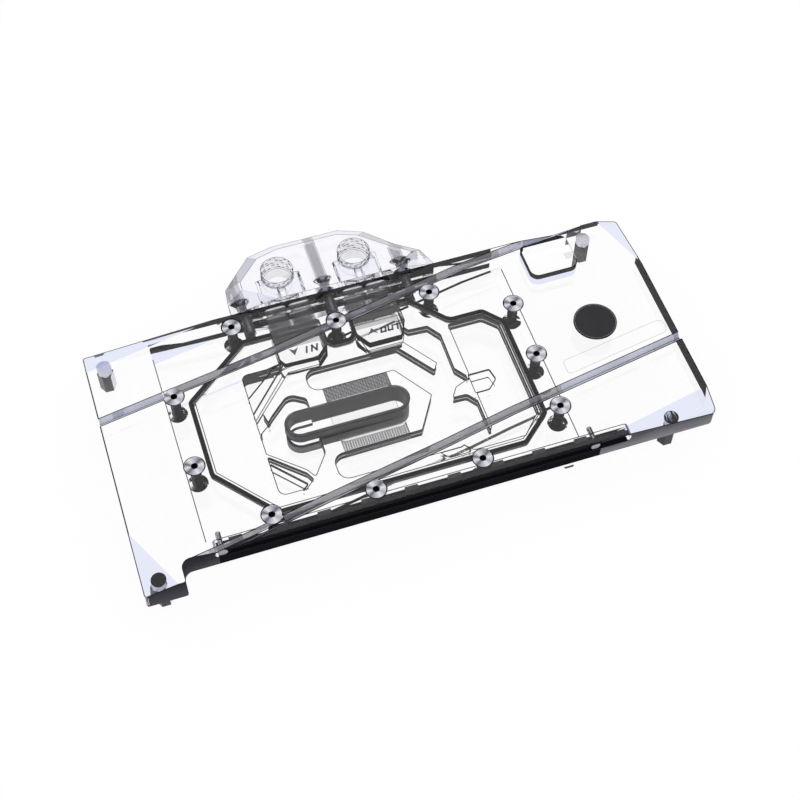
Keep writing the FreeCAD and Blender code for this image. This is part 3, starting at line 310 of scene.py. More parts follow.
@dataclass(frozen=True)
class FrontEdge(Finish):
    """The polished front edge, painted: black along the light strip where the board shows through, grey beside
    it, paler lower down; all of it painted shade.
    """

    left_mm: float = COVER_LEFT
    right_mm: float = COVER_RIGHT
    strip_mm: tuple[float, float] = (-69.6, 78.9)
    low_mm: float = COVER_BOTTOM
    high_mm: float = COVER_TOP
    top_shades: tuple[str, str, str] = ("#2e2e33", "#1b1b1e", "#3c3c41")
    low_shades: tuple[str, str, str] = ("#4c4c52", "#17171b", "#86868d")
    streak_mm: float = 5.0

    def shades(self, tree: bpy.types.NodeTree, along: bpy.types.NodeSocket,
               colours: tuple[str, str, str]) -> bpy.types.NodeSocket:
        """Give the edge its three colours from left to right.

        Args:
            tree: The node tree.
            along: The place along the edge, from 0 to 1.
            colours: The left, strip and right colours.

        Returns:
            The colour socket.
        """
        node = add_node(tree, "ShaderNodeValToRGB", {}, {"Fac": along})
        ramp = node.color_ramp
        ramp.interpolation = "CONSTANT"
        whole = self.right_mm - self.left_mm
        stops = [0.0] + [(x - self.left_mm) / whole for x in self.strip_mm]
        ramp.elements[1].position = stops[1]
        ramp.elements.new(stops[2])
        for element, colour in zip(ramp.elements, colours):
            element.color = srgb(colour)
        return node.outputs["Color"]

    def surface(self, tree: bpy.types.NodeTree) -> bpy.types.NodeSocket:
        """Make the edge with long faint painted streaks where the board shines through.

        Args:
            tree: The material's node tree.

        Returns:
            The shader socket.
        """
        place = self.coordinates(tree)
        axes = add_node(tree, "ShaderNodeSeparateXYZ", {}, {"Vector": place})
        along = add_node(tree, "ShaderNodeMapRange",
                         {"From Min": self.left_mm * MM, "From Max": self.right_mm * MM},
                         {"Value": axes.outputs["X"]}).outputs["Result"]
        rise = add_node(tree, "ShaderNodeMapRange",
                        {"From Min": self.low_mm * MM, "From Max": self.high_mm * MM},
                        {"Value": axes.outputs["Z"]}).outputs["Result"]
        colour = add_node(tree, "ShaderNodeMix", {"data_type": "RGBA"},
                          {0: rise, 6: self.shades(tree, along, self.low_shades),
                           7: self.shades(tree, along, self.top_shades)})
        stretched = add_node(tree, "ShaderNodeMapping",
                             {"Scale": (0.25 / (self.streak_mm * MM), 1.0,
                                        1.0 / (self.streak_mm * MM))}, {"Vector": place})
        streaks = add_node(tree, "ShaderNodeTexNoise", {"Scale": 1.0, "Detail": 3.0},
                           {"Vector": stretched.outputs["Vector"]})
        faint = add_node(tree, "ShaderNodeMapRange",
                         {"From Min": 0.5, "From Max": 0.7, "To Max": 0.35},
                         {"Value": streaks.outputs["Fac"]})
        streaked_shade = add_node(tree, "ShaderNodeMix",
                          {"data_type": "RGBA", "blend_type": "MULTIPLY", 7: srgb("#0a0a0c")},
                          {0: faint.outputs["Result"], 6: colour.outputs[2]})
        edge = add_node(tree, "ShaderNodeBsdfPrincipled",
                        {"Roughness": 0.4, "Specular IOR Level": 0.0},
                        {"Base Color": streaked_shade.outputs[2]})
        return edge.outputs["BSDF"]


@dataclass(frozen=True)
class FinnedCopper(Finish):
    """Skived copper fins under nickel: a fine comb of painted light crests and shaded gaps that reads as grey
    cloth.
    """

    # Such fins usually stand about 0.4 mm apart; these are coarser so that they show
    fin_mm: float = 0.6
    back_dark: str = "#86868a"
    back_pale: str = "#c8c8cc"
    front_dark: str = "#c0c0c6"
    front_pale: str = "#ffffff"
    cross_mm: float = 1.1

    def surface(self, tree: bpy.types.NodeTree) -> bpy.types.NodeSocket:
        """Make the painted comb, crossed by a slower slant that gives it a woven look; fins behind the ring
        get darker colours as painted shade.

        Args:
            tree: The material's node tree.

        Returns:
            The shader socket.
        """
        place = self.coordinates(tree)
        comb = add_node(tree, "ShaderNodeTexWave",
                        {"wave_type": "BANDS", "bands_direction": "X",
                         "Scale": WAVE_LENGTH / (self.fin_mm * MM)}, {"Vector": place})
        slant = add_node(tree, "ShaderNodeTexWave",
                         {"wave_type": "BANDS", "bands_direction": "DIAGONAL",
                          "Scale": WAVE_LENGTH / (self.cross_mm * MM)}, {"Vector": place})
        woven = add_node(tree, "ShaderNodeMath", {"operation": "MULTIPLY"},
                         {0: comb.outputs["Fac"], 1: slant.outputs["Fac"]})
        back = add_node(tree, "ShaderNodeMix",
                        {"data_type": "RGBA", 6: srgb(self.back_dark), 7: srgb(self.back_pale)},
                        {0: woven.outputs[0]})
        front = add_node(tree, "ShaderNodeMix",
                         {"data_type": "RGBA", 6: srgb(self.front_dark),
                          7: srgb(self.front_pale)}, {0: comb.outputs["Fac"]})
        # Painted shade: the fins behind the ring, where y is above 0, get the darker colours
        behind = add_node(tree, "ShaderNodeMath", {"operation": "GREATER_THAN", 1: 0.0},
                          {0: add_node(tree, "ShaderNodeSeparateXYZ", {},
                                       {"Vector": place}).outputs["Y"]})
        shade = add_node(tree, "ShaderNodeMix", {"data_type": "RGBA"},
                         {0: behind.outputs[0], 6: front.outputs[2], 7: back.outputs[2]})
        fins = add_node(tree, "ShaderNodeBsdfPrincipled", {"Roughness": 0.45, "Metallic": 1.0},
                        {"Base Color": shade.outputs[2]})
        return fins.outputs["BSDF"]


@dataclass(frozen=True)
class TurnedHead(Finish):
    """The turned face of a bright screw head, with painted light and dark sectors."""

    light: str = "#f2f2f6"
    middle: str = "#b9b9c2"
    dark: str = "#6c6c78"
    roughness: float = 0.2
    ring_mm: float = 0.5

    def surface(self, tree: bpy.types.NodeTree) -> bpy.types.NodeSocket:
        """Make the sectors round the head's own axis, and fine rings across them.

        Args:
            tree: The material's node tree.

        Returns:
            The shader socket.
        """
        place = self.coordinates(tree)
        turn = add_node(tree, "ShaderNodeTexGradient", {"gradient_type": "RADIAL"},
                        {"Vector": place})
        node = add_node(tree, "ShaderNodeValToRGB", {}, {"Fac": turn.outputs["Fac"]})
        stops = [(0.0, self.light), (0.09, self.dark), (0.17, self.middle), (0.28, self.light),
                 (0.38, self.middle), (0.5, self.light), (0.6, self.dark), (0.7, self.middle),
                 (0.82, self.light), (0.92, self.dark), (1.0, self.light)]
        ramp = node.color_ramp
        for position, _ in stops[1:-1]:
            ramp.elements.new(position)
        for element, (_, colour) in zip(ramp.elements, stops):
            element.color = srgb(colour)
        # Turning rings, coarser than the real ones so that they show
        rings = add_node(tree, "ShaderNodeTexWave",
                         {"wave_type": "RINGS", "rings_direction": "Z",
                          "Scale": WAVE_LENGTH / (self.ring_mm * MM)}, {"Vector": place})
        worn = add_node(tree, "ShaderNodeMix",
                        {"data_type": "RGBA", "blend_type": "MULTIPLY", 7: srgb("#d8d8de")},
                        {0: rings.outputs["Fac"], 6: node.outputs["Color"]})
        steel = add_node(tree, "ShaderNodeBsdfPrincipled",
                         {"Metallic": 1.0, "Roughness": self.roughness},
                         {"Base Color": worn.outputs[2]})
        return steel.outputs["BSDF"]


@dataclass(frozen=True)
class Metal(Finish):
    """Bare or plated metal with fine machining marks along one axis."""

    colour: str = "#e9e9ec"
    roughness: float = 0.05
    grain_mm: tuple[float, float, float] = (40.0, 0.5, 40.0)
    grain_roughness: float = 0.04

    def surface(self, tree: bpy.types.NodeTree) -> bpy.types.NodeSocket:
        """Make the metal, its grain a little rougher and paler in streaks.

        Args:
            tree: The material's node tree.

        Returns:
            The shader socket.
        """
        place = self.coordinates(tree)
        scaled = add_node(tree, "ShaderNodeMapping",
                          {"Scale": tuple(1 / (g * MM) for g in self.grain_mm)},
                          {"Vector": place})
        grain = add_node(tree, "ShaderNodeTexNoise", {"Scale": 1.0, "Detail": 2.0},
                         {"Vector": scaled.outputs["Vector"]})
        rough = add_node(tree, "ShaderNodeMapRange",
                         {"To Min": self.roughness,
                          "To Max": self.roughness + self.grain_roughness},
                         {"Value": grain.outputs["Fac"]})
        metal = add_node(tree, "ShaderNodeBsdfPrincipled",
                         {"Base Color": srgb(self.colour), "Metallic": 1.0},
                         {"Roughness": rough.outputs["Result"]})
        return metal.outputs["BSDF"]


@dataclass(frozen=True)
class Moulded(Finish):
    """Rubber, plastic or black-plated metal with a fine even grain.

    With hide_mirrored set, rays that have been mirrored pass through it, so that the bright
    plate below shows no second line; with hide_behind_only too, only those from behind do.
    """

    colour: str = "#202024"
    variation: str = "#2c2c31"
    roughness: float = 0.4
    grain_mm: float = 0.8
    metallic: float = 0.0
    specular: float = 0.25
    hide_mirrored: bool = False
    hide_behind_only: bool = False

    def surface(self, tree: bpy.types.NodeTree) -> bpy.types.NodeSocket:
        """Make the material with two close shades and a faint bump.

        Args:
            tree: The material's node tree.

        Returns:
            The shader socket.
        """
        grain = add_node(tree, "ShaderNodeTexNoise",
                         {"Scale": 1 / (self.grain_mm * MM), "Detail": 3.0},
                         {"Vector": self.coordinates(tree)})
        shade = add_node(tree, "ShaderNodeMix",
                         {"data_type": "RGBA", 6: srgb(self.colour), 7: srgb(self.variation)},
                         {0: grain.outputs["Fac"]})
        relief = add_node(tree, "ShaderNodeBump", {"Strength": 0.1, "Distance": RELIEF_MM * MM},
                          {"Height": grain.outputs["Fac"]})
        surface = add_node(tree, "ShaderNodeBsdfPrincipled",
                           {"Roughness": self.roughness, "Metallic": self.metallic,
                            "Specular IOR Level": self.specular},
                           {"Base Color": shade.outputs[2], "Normal": relief.outputs["Normal"]})
        if not self.hide_mirrored:
            return surface.outputs["BSDF"]
        ray = add_node(tree, "ShaderNodeLightPath").outputs["Glossy Depth"]
        if self.hide_behind_only:
            side = add_node(tree, "ShaderNodeNewGeometry").outputs["Backfacing"]
            ray = add_node(tree, "ShaderNodeMath", {"operation": "MULTIPLY", "use_clamp": True},
                           {0: ray, 1: side}).outputs[0]
        through = add_node(tree, "ShaderNodeBsdfTransparent")
        mix = add_node(tree, "ShaderNodeMixShader", {},
                       {0: ray, 1: surface.outputs["BSDF"], 2: through.outputs["BSDF"]})
        return mix.outputs["Shader"]


def dress(name: str, finishes: list[bpy.types.Material]) -> bpy.types.Object:
    """Give a CAD node its materials.

    Args:
        name: The node's name.
        finishes: One material for each slot of the mesh.

    Returns:
        The node's object.
    """
    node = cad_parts[name]
    node.data.materials.clear()
    for finish in finishes:
        node.data.materials.append(finish)
    return node


def add_object(name: str, data: bpy.types.ID) -> bpy.types.Object:
    """Make an object and link it to the scene."""
    thing = bpy.data.objects.new(name, data)
    bpy.context.scene.collection.objects.link(thing)
    return thing


def near_any(spot: Vector, places: Iterable[tuple[float, float]], reach: float) -> bool:
    """Tell whether a spot lies within reach of any of the places, seen from above."""
    return any((spot - Vector(place)).length < reach for place in places)


def mesh_piece(name: str, builder: bmesh.types.BMesh, materials: list[bpy.types.Material]) -> bpy.types.Object:
    """Make a riding piece from a finished bmesh.

    Args:
        name: The piece's name.
        builder: The mesh, which is freed here.
        materials: Its material slots.

    Returns:
        The new object.
    """
    mesh = bpy.data.meshes.new(name)
    builder.to_mesh(mesh)
    builder.free()
    for material in materials:
        mesh.materials.append(material)
    piece = add_object(name, mesh)
    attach(piece, Body.ROOT.value)
    return piece


def sharp_edges(node: bpy.types.Object, degrees: float) -> list[tuple[Vector, Vector]]:
    """List the edges of a CAD node where its faces meet at more than an angle.

    Args:
        node: The CAD node.
        degrees: The smallest angle that counts as sharp.

    Returns:
        The two ends of each sharp edge.
    """
    work = bmesh.new()
    work.from_mesh(node.data)
    bmesh.ops.remove_doubles(work, verts=work.verts, dist=0.002 * MM)
    limit = math.radians(degrees)
    found = [(edge.verts[0].co.copy(), edge.verts[1].co.copy()) for edge in work.edges
             if len(edge.link_faces) == 2 and edge.calc_face_angle(0.0) > limit]
    work.free()
    return found


def rod(work: bmesh.types.BMesh, start: Vector, end: Vector, radius: float) -> None:
    """Add a thin square rod between two points.

    Args:
        work: The mesh that gets it.
        start: One end.
        end: The other end.
        radius: Half the diagonal of its section.
    """
    along = end - start
    if along.length < 1e-7:
        return
    along.normalize()
    side = along.cross(Vector((0, 0, 1)))
    if side.length < 0.1:
        side = along.cross(Vector((1, 0, 0)))
    side.normalize()
    up = side.cross(along)
    corners = [side * radius, up * radius, -side * radius, -up * radius]
    first = [work.verts.new(start - along * radius * 0.5 + c) for c in corners]
    last = [work.verts.new(end + along * radius * 0.5 + c) for c in corners]
    for i in range(4):
        j = (i + 1) % 4
        work.faces.new((first[i], first[j], last[j], last[i]))
    work.faces.new(first[::-1])
    work.faces.new(last)


def prism(work: bmesh.types.BMesh, outline: list[tuple[float, float]], low: float,
          high: float, material: int = 0) -> None:
    """Add an upright prism.

    Args:
        work: The mesh that gets it.
        outline: Its corners in millimetres, anticlockwise.
        low: The height of its bottom in millimetres.
        high: The height of its top in millimetres.
        material: Its material slot.
    """
    bottom = [work.verts.new((x * MM, y * MM, low * MM)) for x, y in outline]
    top = [work.verts.new((x * MM, y * MM, high * MM)) for x, y in outline]
    faces = [work.faces.new(bottom[::-1]), work.faces.new(top)]
    for i in range(len(outline)):
        j = (i + 1) % len(outline)
        faces.append(work.faces.new((bottom[i], bottom[j], top[j], top[i])))
    for face in faces:
        face.material_index = material


def bar(work: bmesh.types.BMesh, start: tuple[float, float], end: tuple[float, float],
        width: float, low: float, high: float) -> None:
    """Add a flat bar between two places.

    Args:
        work: The mesh that gets it.
        start: The middle of one end in millimetres.
        end: The middle of the other end.
        width: Its width in millimetres.
        low: The height of its bottom.
        high: The height of its top.
    """
    a, b = Vector(start), Vector(end)
    along = (b - a).normalized() * width / 2
    side = Vector((-along.y, along.x))
    corners = [a - along - side, b + along - side, b + along + side, a - along + side]
    prism(work, [(c.x, c.y) for c in corners], low, high)


# Where the cover's countersunk screws and the posts stand, in millimetres
COVER_SCREWS = [(-68.6, 25.7), (-68.6, -6.6), (-46.9, -35.1), (-7.8, -36.7), (33.8, -36.4),
                (69.7, -23.6), (69.7, 1.7), (69.7, 27.3), (39.8, 43.1), (0.5, 41.2),
                (-39.5, 50.7)]
POSTS = [(-91.1, 49.4), (-91.5, -45.9), (109.0, -39.0), (109.8, 52.0)]


class Assembly:
    """A part of the block: it dresses its CAD nodes and may add pieces of its own."""

    def dress(self) -> None:
        """Give the CAD nodes their finishes."""

    def additions(self) -> list[bpy.types.Object]:
        """Make the pieces that the CAD doesn't have."""
        return []


class Face(Enum):
    """The ways that a face of the cover can look, in the order of its material slots."""

    CLEAR = 0
    FACET = 1
    GROOVE = 2
    WALL = 3
    WELL = 4
    SLOT = 5
    WINDOW = 6
    BACK = 7
    RIGHT = 8
    FRONT = 9
    HOLE = 10
    SLOT_ROOF = 11
    SLOT_FLOOR = 12


@dataclass
class Cover(Assembly):
    """The clear cover: a look for each face, many of them painted shade, and painted lines along its edges."""

    top_mm: float = COVER_TOP
    bottom_mm: float = COVER_BOTTOM
    left_mm: float = COVER_LEFT
    right_mm: float = COVER_RIGHT
    back_mm: float = 56.2
    front_mm: float = -43.1
    foot_right_mm: float = -80.0
    seal_roof_mm: float = 8.25
    well_roof_mm: float = 13.5
    pocket_roof_mm: float = 15.0
    slot_z_mm: float = 11.6
    light_slot_mm: tuple[float, float] = (11.7, 15.8)
    near_mm: float = 1.2
    hole_reach_mm: float = 3.3
    sink_reach_mm: float = 4.6
    line_reach_mm: float = 4.2
    port_half_mm: float = 2.4
    port_area_mm: tuple[float, float] = (40.0, 40.0)
    strip_depth_mm: float = 12.0
    window_mm: tuple[float, float] = (79.0, 35.0)
    well_mm: tuple[float, float] = (34.0, 18.0)
    faint_x_mm: tuple[float, float] = (85.5, 104.0)
    faint_y_mm: tuple[float, float] = (40.7, 55.5)
    edge_mm: float = 0.17
    faint_edge_mm: float = 0.1
    fold_degrees: float = 40.0
    clear: CastAcrylic = CastAcrylic("cast_acrylic_clear")
    # The facets' lavender tint is painted shade, set by their slope
    facet: CastAcrylic = CastAcrylic("cast_acrylic_facet", tint="#d2d8f6")
    groove: EngravedGroove = EngravedGroove("cast_acrylic_v_groove")
    # The walls, wells, port slots, window, back and right edges and the light slot's roof and floor are
    # painted dark: painted shade
    wall: MilledWall = MilledWall("milled_acrylic_wall")
    well: MilledWall = MilledWall("milled_acrylic_well", dark="#1e1e22", pale="#303036",
                                  both=True)
    slot: MilledWall = MilledWall("milled_acrylic_port_slot", dark="#3a3a42", pale="#8a8a92",
                                  share=0.42, both=True, blotch_mm=2.5)
    window: MilledWall = MilledWall("milled_acrylic_window", dark="#26262a", pale="#3a3a3f",
                                    tint="#e6e8fa", both=True, low_mm=12.6)
    back: MilledWall = MilledWall("polished_acrylic_back_edge", dark="#2c2c31", pale="#505057",
                                  tint="#eef0fc", both=True, low_mm=12.0,
                                  span_mm=(-74.0, 118.0), gap_mm=(70.8, 84.6), glassy=True)
    right: MilledWall = MilledWall("polished_acrylic_right_edge", dark="#28282c",
                                   pale="#38383d", both=True, span_axis="Y",
                                   span_mm=(-32.5, 35.4), glassy=True)
    front: FrontEdge = FrontEdge("polished_acrylic_front_edge")
    hole: MilledWall = MilledWall("reamed_acrylic_hole", share=0.0, both=True)
    slot_roof: MilledWall = MilledWall("milled_light_slot_roof", dark="#2e2e32", pale="#3e3e44",
                                       both=True, span_axis="Y", span_mm=(-43.3, -40.9))
    slot_floor: MilledWall = MilledWall("milled_light_slot_floor", dark="#101012",
                                        pale="#202024", both=True, blotch_mm=1.5)
    line: Moulded = Moulded("acrylic_edge_line", colour="#1c1c20", variation="#2e2e34",
                            roughness=0.5, grain_mm=3.0, specular=0.0,
                            hide_mirrored=True)
    faint: Moulded = Moulded("acrylic_faint_edge_line", colour="#b0b2c0", variation="#d6d8e6",
                             roughness=0.5, grain_mm=3.0, specular=0.0,
                             hide_mirrored=True)

    def outer_side(self, centre: Vector, normal: Vector) -> Face | None:
        """Tell which outer edge a face lies on.

        Args:
            centre: The face's centre in millimetres.
            normal: Its outward normal.

        Returns:
            Its look, or None where it isn't on the outline.
        """
        near = self.near_mm
        if centre.x > self.right_mm - near:
            return Face.RIGHT
        if centre.y > self.back_mm - near and normal.y > 0:
            return Face.BACK
        if centre.x < self.left_mm + near:
            return Face.CLEAR
        if centre.y < self.front_mm - near:
            return Face.FRONT
        if centre.y < self.front_mm + near and (normal.y < -0.1 or centre.x < self.foot_right_mm):
            return Face.FRONT
        return None

    def in_port(self, centre: Vector) -> bool:
        """Tell whether a face lies in one of the two slots of the ports."""
        wide, deep = self.port_area_mm
        return (abs(centre.z - self.slot_z_mm) < self.port_half_mm and centre.y > deep
                and abs(centre.x) < wide)

    def side_look(self, centre: Vector, normal: Vector, roof: float) -> Face:
        """Choose the look of an upright face.

        Args:
            centre: The face's centre in millimetres.
            normal: Its outward normal.
            roof: The height of its highest corner.

        Returns:
            The look.
        """
        if near_any(centre.xy, COVER_SCREWS + POSTS, self.hole_reach_mm):
            return Face.HOLE
        outer = self.outer_side(centre, normal)
        if outer:
            return outer
        if centre.y < self.front_mm + self.strip_depth_mm and centre.z > self.slot_z_mm - 0.5:
            return Face.HOLE
        if self.in_port(centre):
            return Face.SLOT
        if centre.x > self.window_mm[0] and centre.y > self.window_mm[1]:
            seen = normal.y > 0.3 or normal.x > 0.3
            return Face.WINDOW if seen else Face.HOLE
        if roof < self.seal_roof_mm or roof > self.pocket_roof_mm:
            return Face.HOLE
        well_x, well_y = self.well_mm
        if roof > self.well_roof_mm and abs(centre.x) < well_x and centre.y > well_y:
            return Face.WELL
        return Face.WALL

    def look(self, face: bpy.types.MeshPolygon, mesh: bpy.types.Mesh) -> Face:
        """Choose the look of a face.

        Args:
            face: The face.
            mesh: The mesh that it belongs to.

        Returns:
            The look.
        """
        rise = abs(face.normal.z)
        centre = face.center / MM
        if rise < 0.3:
            roof = max(mesh.vertices[i].co.z for i in face.vertices) / MM
            return self.side_look(centre, face.normal, roof)
        if centre.y < self.front_mm + 5.0 and abs(centre.z - self.light_slot_mm[0]) < 0.2:
            return Face.SLOT_FLOOR
        if centre.y < self.front_mm + 5.0 and abs(centre.z - self.light_slot_mm[1]) < 0.2:
            return Face.SLOT_ROOF
        if self.in_port(centre):
            return Face.SLOT
        if rise > 0.997 or centre.z < self.bottom_mm + 6:
            return Face.CLEAR
        if rise > 0.8:
            return Face.FACET
        near_screw = near_any(centre.xy, COVER_SCREWS, self.sink_reach_mm)
        return Face.CLEAR if near_screw else Face.GROOVE

    def dress(self) -> None:
        """Sort the CAD mesh's faces by the way they look."""
        finishes = [self.clear, self.facet, self.groove, self.wall, self.well, self.slot,
                    self.window, self.back, self.right, self.front, self.hole,
                    self.slot_roof, self.slot_floor]
        node = dress("acrylic_cover", [finish.build() for finish in finishes])
        for face in node.data.polygons:
            face.material_index = self.look(face, node.data).value
            face.use_smooth = False

    def shown(self, start: Vector, end: Vector) -> bool:
        """Tell whether an edge is one of those that read as a dark line.

        Args:
            start: One end in metres.
            end: The other end.

        Returns:
            False for upright edges, for the mouths of the pockets and for screw holes.
        """
        middle = (start + end) / 2 / MM
        if abs(start.z - end.z) > 0.5 * (start - end).length:
            return False
        if middle.z < self.bottom_mm + 0.1 and middle.x > self.left_mm + 0.5:
            return False
        if abs(middle.z - self.slot_z_mm) < 2.5 and middle.y > 42.0 and abs(middle.x) < 45.0:
            return False
        if middle.z > self.top_mm - 0.1:
            return True
        return not near_any(middle.xy, COVER_SCREWS + POSTS, self.line_reach_mm)

    def edges(self) -> bpy.types.Object:
        """Draw painted dark lines along the sharp edges, pale ones on the far side, standing in for the shade
        at the fine polished chamfers.
        """
        work = bmesh.new()
        for start, end in sharp_edges(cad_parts["acrylic_cover"], self.fold_degrees):
            middle = (start + end) / 2 / MM
            far_side = (self.faint_x_mm[0] < middle.x < self.faint_x_mm[1]
                        and self.faint_y_mm[0] < middle.y < self.faint_y_mm[1])
            if self.shown(start, end) and not (far_side and middle.z < self.top_mm - 0.1):
                count = len(work.faces)
                rod(work, start, end, (self.faint_edge_mm if far_side else self.edge_mm) * MM)
                work.faces.ensure_lookup_table()
                for face in work.faces[count:]:
                    face.material_index = int(far_side)
        return mesh_piece("cover_edge_lines", work, [self.line.build(), self.faint.build()])

    def additions(self) -> list[bpy.types.Object]:
        """Add the edge lines."""
        return [self.edges()]


@dataclass
class Marks(Assembly):
    """The plain flow marks and the bare label outline milled in the top of the cover."""

    top_mm: float = COVER_TOP
    depth_mm: float = 0.05
    stroke_mm: float = 0.75
    fine_mm: float = 0.09
    letter_strokes: list[list[tuple[float, float]]] = field(default_factory=lambda: [
        [(-14.8, 29.9), (-14.1, 32.4)],
        [(-12.7, 29.9), (-12.0, 32.4), (-10.7, 29.9), (-9.9, 32.4)],
        [(15.7, 30.1), (16.2, 32.0), (17.9, 32.0), (17.5, 30.1), (15.7, 30.1)],
        [(19.1, 32.1), (18.7, 30.1), (20.3, 30.1), (20.8, 32.1)],
        [(21.6, 32.0), (24.0, 32.0)],
        [(22.8, 32.0), (22.4, 29.9)]])
    arrows: list[list[tuple[float, float]]] = field(default_factory=lambda: [
        [(-19.5, 29.9), (-17.3, 33.4), (-19.2, 32.3), (-21.1, 33.5)],
        [(12.5, 33.2), (10.3, 30.2), (12.4, 31.2), (14.5, 30.2)]])
    label: list[tuple[float, float]] = field(default_factory=lambda: [
        (79.0, -11.2), (78.0, -10.0), (78.1, -5.6), (79.0, -4.7), (120.3, 1.9), (122.2, 1.1),
        (122.8, -1.0), (122.2, -3.6), (121.0, -4.3)])
    ink: Moulded = Moulded("filled_engraving", colour="#4c4c52", variation="#66666e",
                           roughness=0.5, grain_mm=1.0, hide_mirrored=True)
    pale: Moulded = Moulded("fine_engraved_line", colour="#b4b4ba", variation="#d8d8de",
                            roughness=0.5, grain_mm=4.0, hide_mirrored=True)

    def letters(self) -> bpy.types.Object:
        """Fill the two words and the two arrows."""
        work = bmesh.new()
        low, high = self.top_mm - self.depth_mm, self.top_mm + self.depth_mm
        for stroke in self.letter_strokes:
            for start, end in zip(stroke, stroke[1:]):
                bar(work, start, end, self.stroke_mm, low, high)
        for outline in self.arrows:
            prism(work, outline, low, high)
        bmesh.ops.recalc_face_normals(work, faces=work.faces)
        return mesh_piece("flow_marks", work, [self.ink.build()])

    def outline(self) -> bpy.types.Object:
        """Draw the fine line round the bare label field."""
        work = bmesh.new()
        points = [Vector((x, y, self.top_mm)) * MM for x, y in self.label]
        for start, end in zip(points, points[1:] + points[:1]):
            rod(work, start, end, self.fine_mm * MM)
        return mesh_piece("label_outline", work, [self.pale.build()])

    def additions(self) -> list[bpy.types.Object]:
        """Add both marks."""
        return [self.letters(), self.outline()]


class BlockFace(Enum):
    """The ways that a face of the terminal block can look, in the order of its slots."""

    CLEAR = 0
    FACET = 1
    BORE = 2
    THREAD = 3
    HOLE = 4
    SIDE = 5


@dataclass
class Terminal(Assembly):
    """The clear terminal block with its two ports."""

    top_mm: float = 20.6
    axis_z_mm: float = 11.6
    screws_x_mm: tuple[float, ...] = (-32.5, 1.5, 33.7)
    ports_mm: tuple[tuple[float, float], ...] = ((-15.5, 70.0), (16.6, 70.0))
    port_radius_mm: float = 6.45
    pitch_mm: float = 1.337
    turns: int = 5
    glint_mm: float = 0.16
    glint_count: int = 72
    bore_reach_mm: float = 5.0
    line_reach_mm: float = 4.6
    fold_degrees: float = 25.0
    clear: CastAcrylic = CastAcrylic("cast_acrylic_terminal", tint="#fafaff")
    # The facets and the side faces are tinted darker by their slope: painted shade
    facet: CastAcrylic = CastAcrylic("cast_acrylic_terminal_facet", tint="#dcdeec")
    side: CastAcrylic = CastAcrylic("cast_acrylic_terminal_side", tint="#9c9cac")
    # The bore and the thread walls are blotched with painted shade
    bore: MilledWall = MilledWall("drilled_acrylic_bore", dark="#8a8a92", pale="#acacb4",
                                  share=0.45, both=True, blotch_mm=6.0)
    hole: MilledWall = MilledWall("drilled_acrylic_side", share=0.0, both=True)
    thread: MilledWall = MilledWall("cut_acrylic_thread", dark="#9c9ca6", pale="#f4f4fa",
                                    share=0.25, both=True, blotch_mm=0.8)
    line: Moulded = Moulded("terminal_edge_line", colour="#54545c", variation="#9a9aa2",
                            roughness=0.3, grain_mm=5.0)
    painted_glint: Moulded = Moulded("thread_glint", colour="#0e0e12", variation="#5e5e66",
                             roughness=0.3, grain_mm=0.9)
    edge_mm: float = 0.1

    def by_screw(self, spot: Vector, reach: float) -> bool:
        """Tell whether a spot lies within reach of a screw's axis, in width and in height."""
        return abs(spot.z - self.axis_z_mm) < reach and any(
            abs(spot.x - x) < reach for x in self.screws_x_mm)

    def look(self, centre: Vector, normal: Vector) -> BlockFace:
        """Choose the look of a face.

        Args:
            centre: The face's centre in millimetres.
            normal: Its outward normal.

        Returns:
            The look.
        """
        if abs(normal.z) < 0.1 and near_any(centre.xy, self.ports_mm,
                                            self.port_radius_mm + 0.3):
            return BlockFace.THREAD
        if abs(normal.y) < 0.05 and self.by_screw(centre, self.bore_reach_mm):
            return BlockFace.BORE if abs(normal.z) > 0.85 else BlockFace.HOLE
        if 0.15 < abs(normal.z) < 0.98 and abs(normal.y) > 0.05:
            return BlockFace.SIDE if abs(normal.x) > 0.3 else BlockFace.FACET
        return BlockFace.CLEAR

    def dress(self) -> None:
        """Sort the block's faces by the way they look."""
        finishes = [self.clear, self.facet, self.bore, self.thread, self.hole, self.side]
        node = dress("terminal_block", [finish.build() for finish in finishes])
        for face in node.data.polygons:
            face.material_index = self.look(face.center / MM, face.normal).value
            face.use_smooth = False

    def crest(self, port: tuple[float, float], turn: int, step: int) -> Vector:
        """Find a point of a port's thread crest.

        Args:
            port: The port's middle in millimetres.
            turn: The number of whole turns below the mouth.
            step: The step within the turn.

        Returns:
            The point in metres.
        """
        angle = math.tau * step / self.glint_count
        height = self.top_mm - 0.3 - turn * self.pitch_mm
        return Vector((port[0] + self.port_radius_mm * math.cos(angle),
                       port[1] + self.port_radius_mm * math.sin(angle),
                       height - self.pitch_mm * step / self.glint_count)) * MM

    def glints(self) -> bpy.types.Object:
        """Add broken dark arcs on the thread crests inside the two ports: painted reflections."""
        work = bmesh.new()
        for port in self.ports_mm:
            for turn in range(self.turns):
                for i in range(self.glint_count):
                    lit = math.sin(i * 0.61 + turn * 2.3 + port[0]) + math.sin(i * 1.7 + turn)
                    if lit >= 0.45:
                        rod(work, self.crest(port, turn, i), self.crest(port, turn, i + 1),
                            self.glint_mm * MM)
        return mesh_piece("port_thread_glints", work, [self.painted_glint.build()])

    def edges(self) -> bpy.types.Object:
        """Draw painted dark lines along the block's upper edges, standing in for the shade at its polished
        edges.
        """
        work = bmesh.new()
        for start, end in sharp_edges(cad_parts["terminal_block"], self.fold_degrees):
            middle = (start + end) / 2 / MM
            if not self.by_screw(middle, self.line_reach_mm) and middle.z > self.axis_z_mm:
                rod(work, start, end, self.edge_mm * MM)
        return mesh_piece("terminal_edge_lines", work, [self.line.build()])

    def additions(self) -> list[bpy.types.Object]:
        """Add the edge lines and the glints."""
        return [self.edges(), self.glints()]


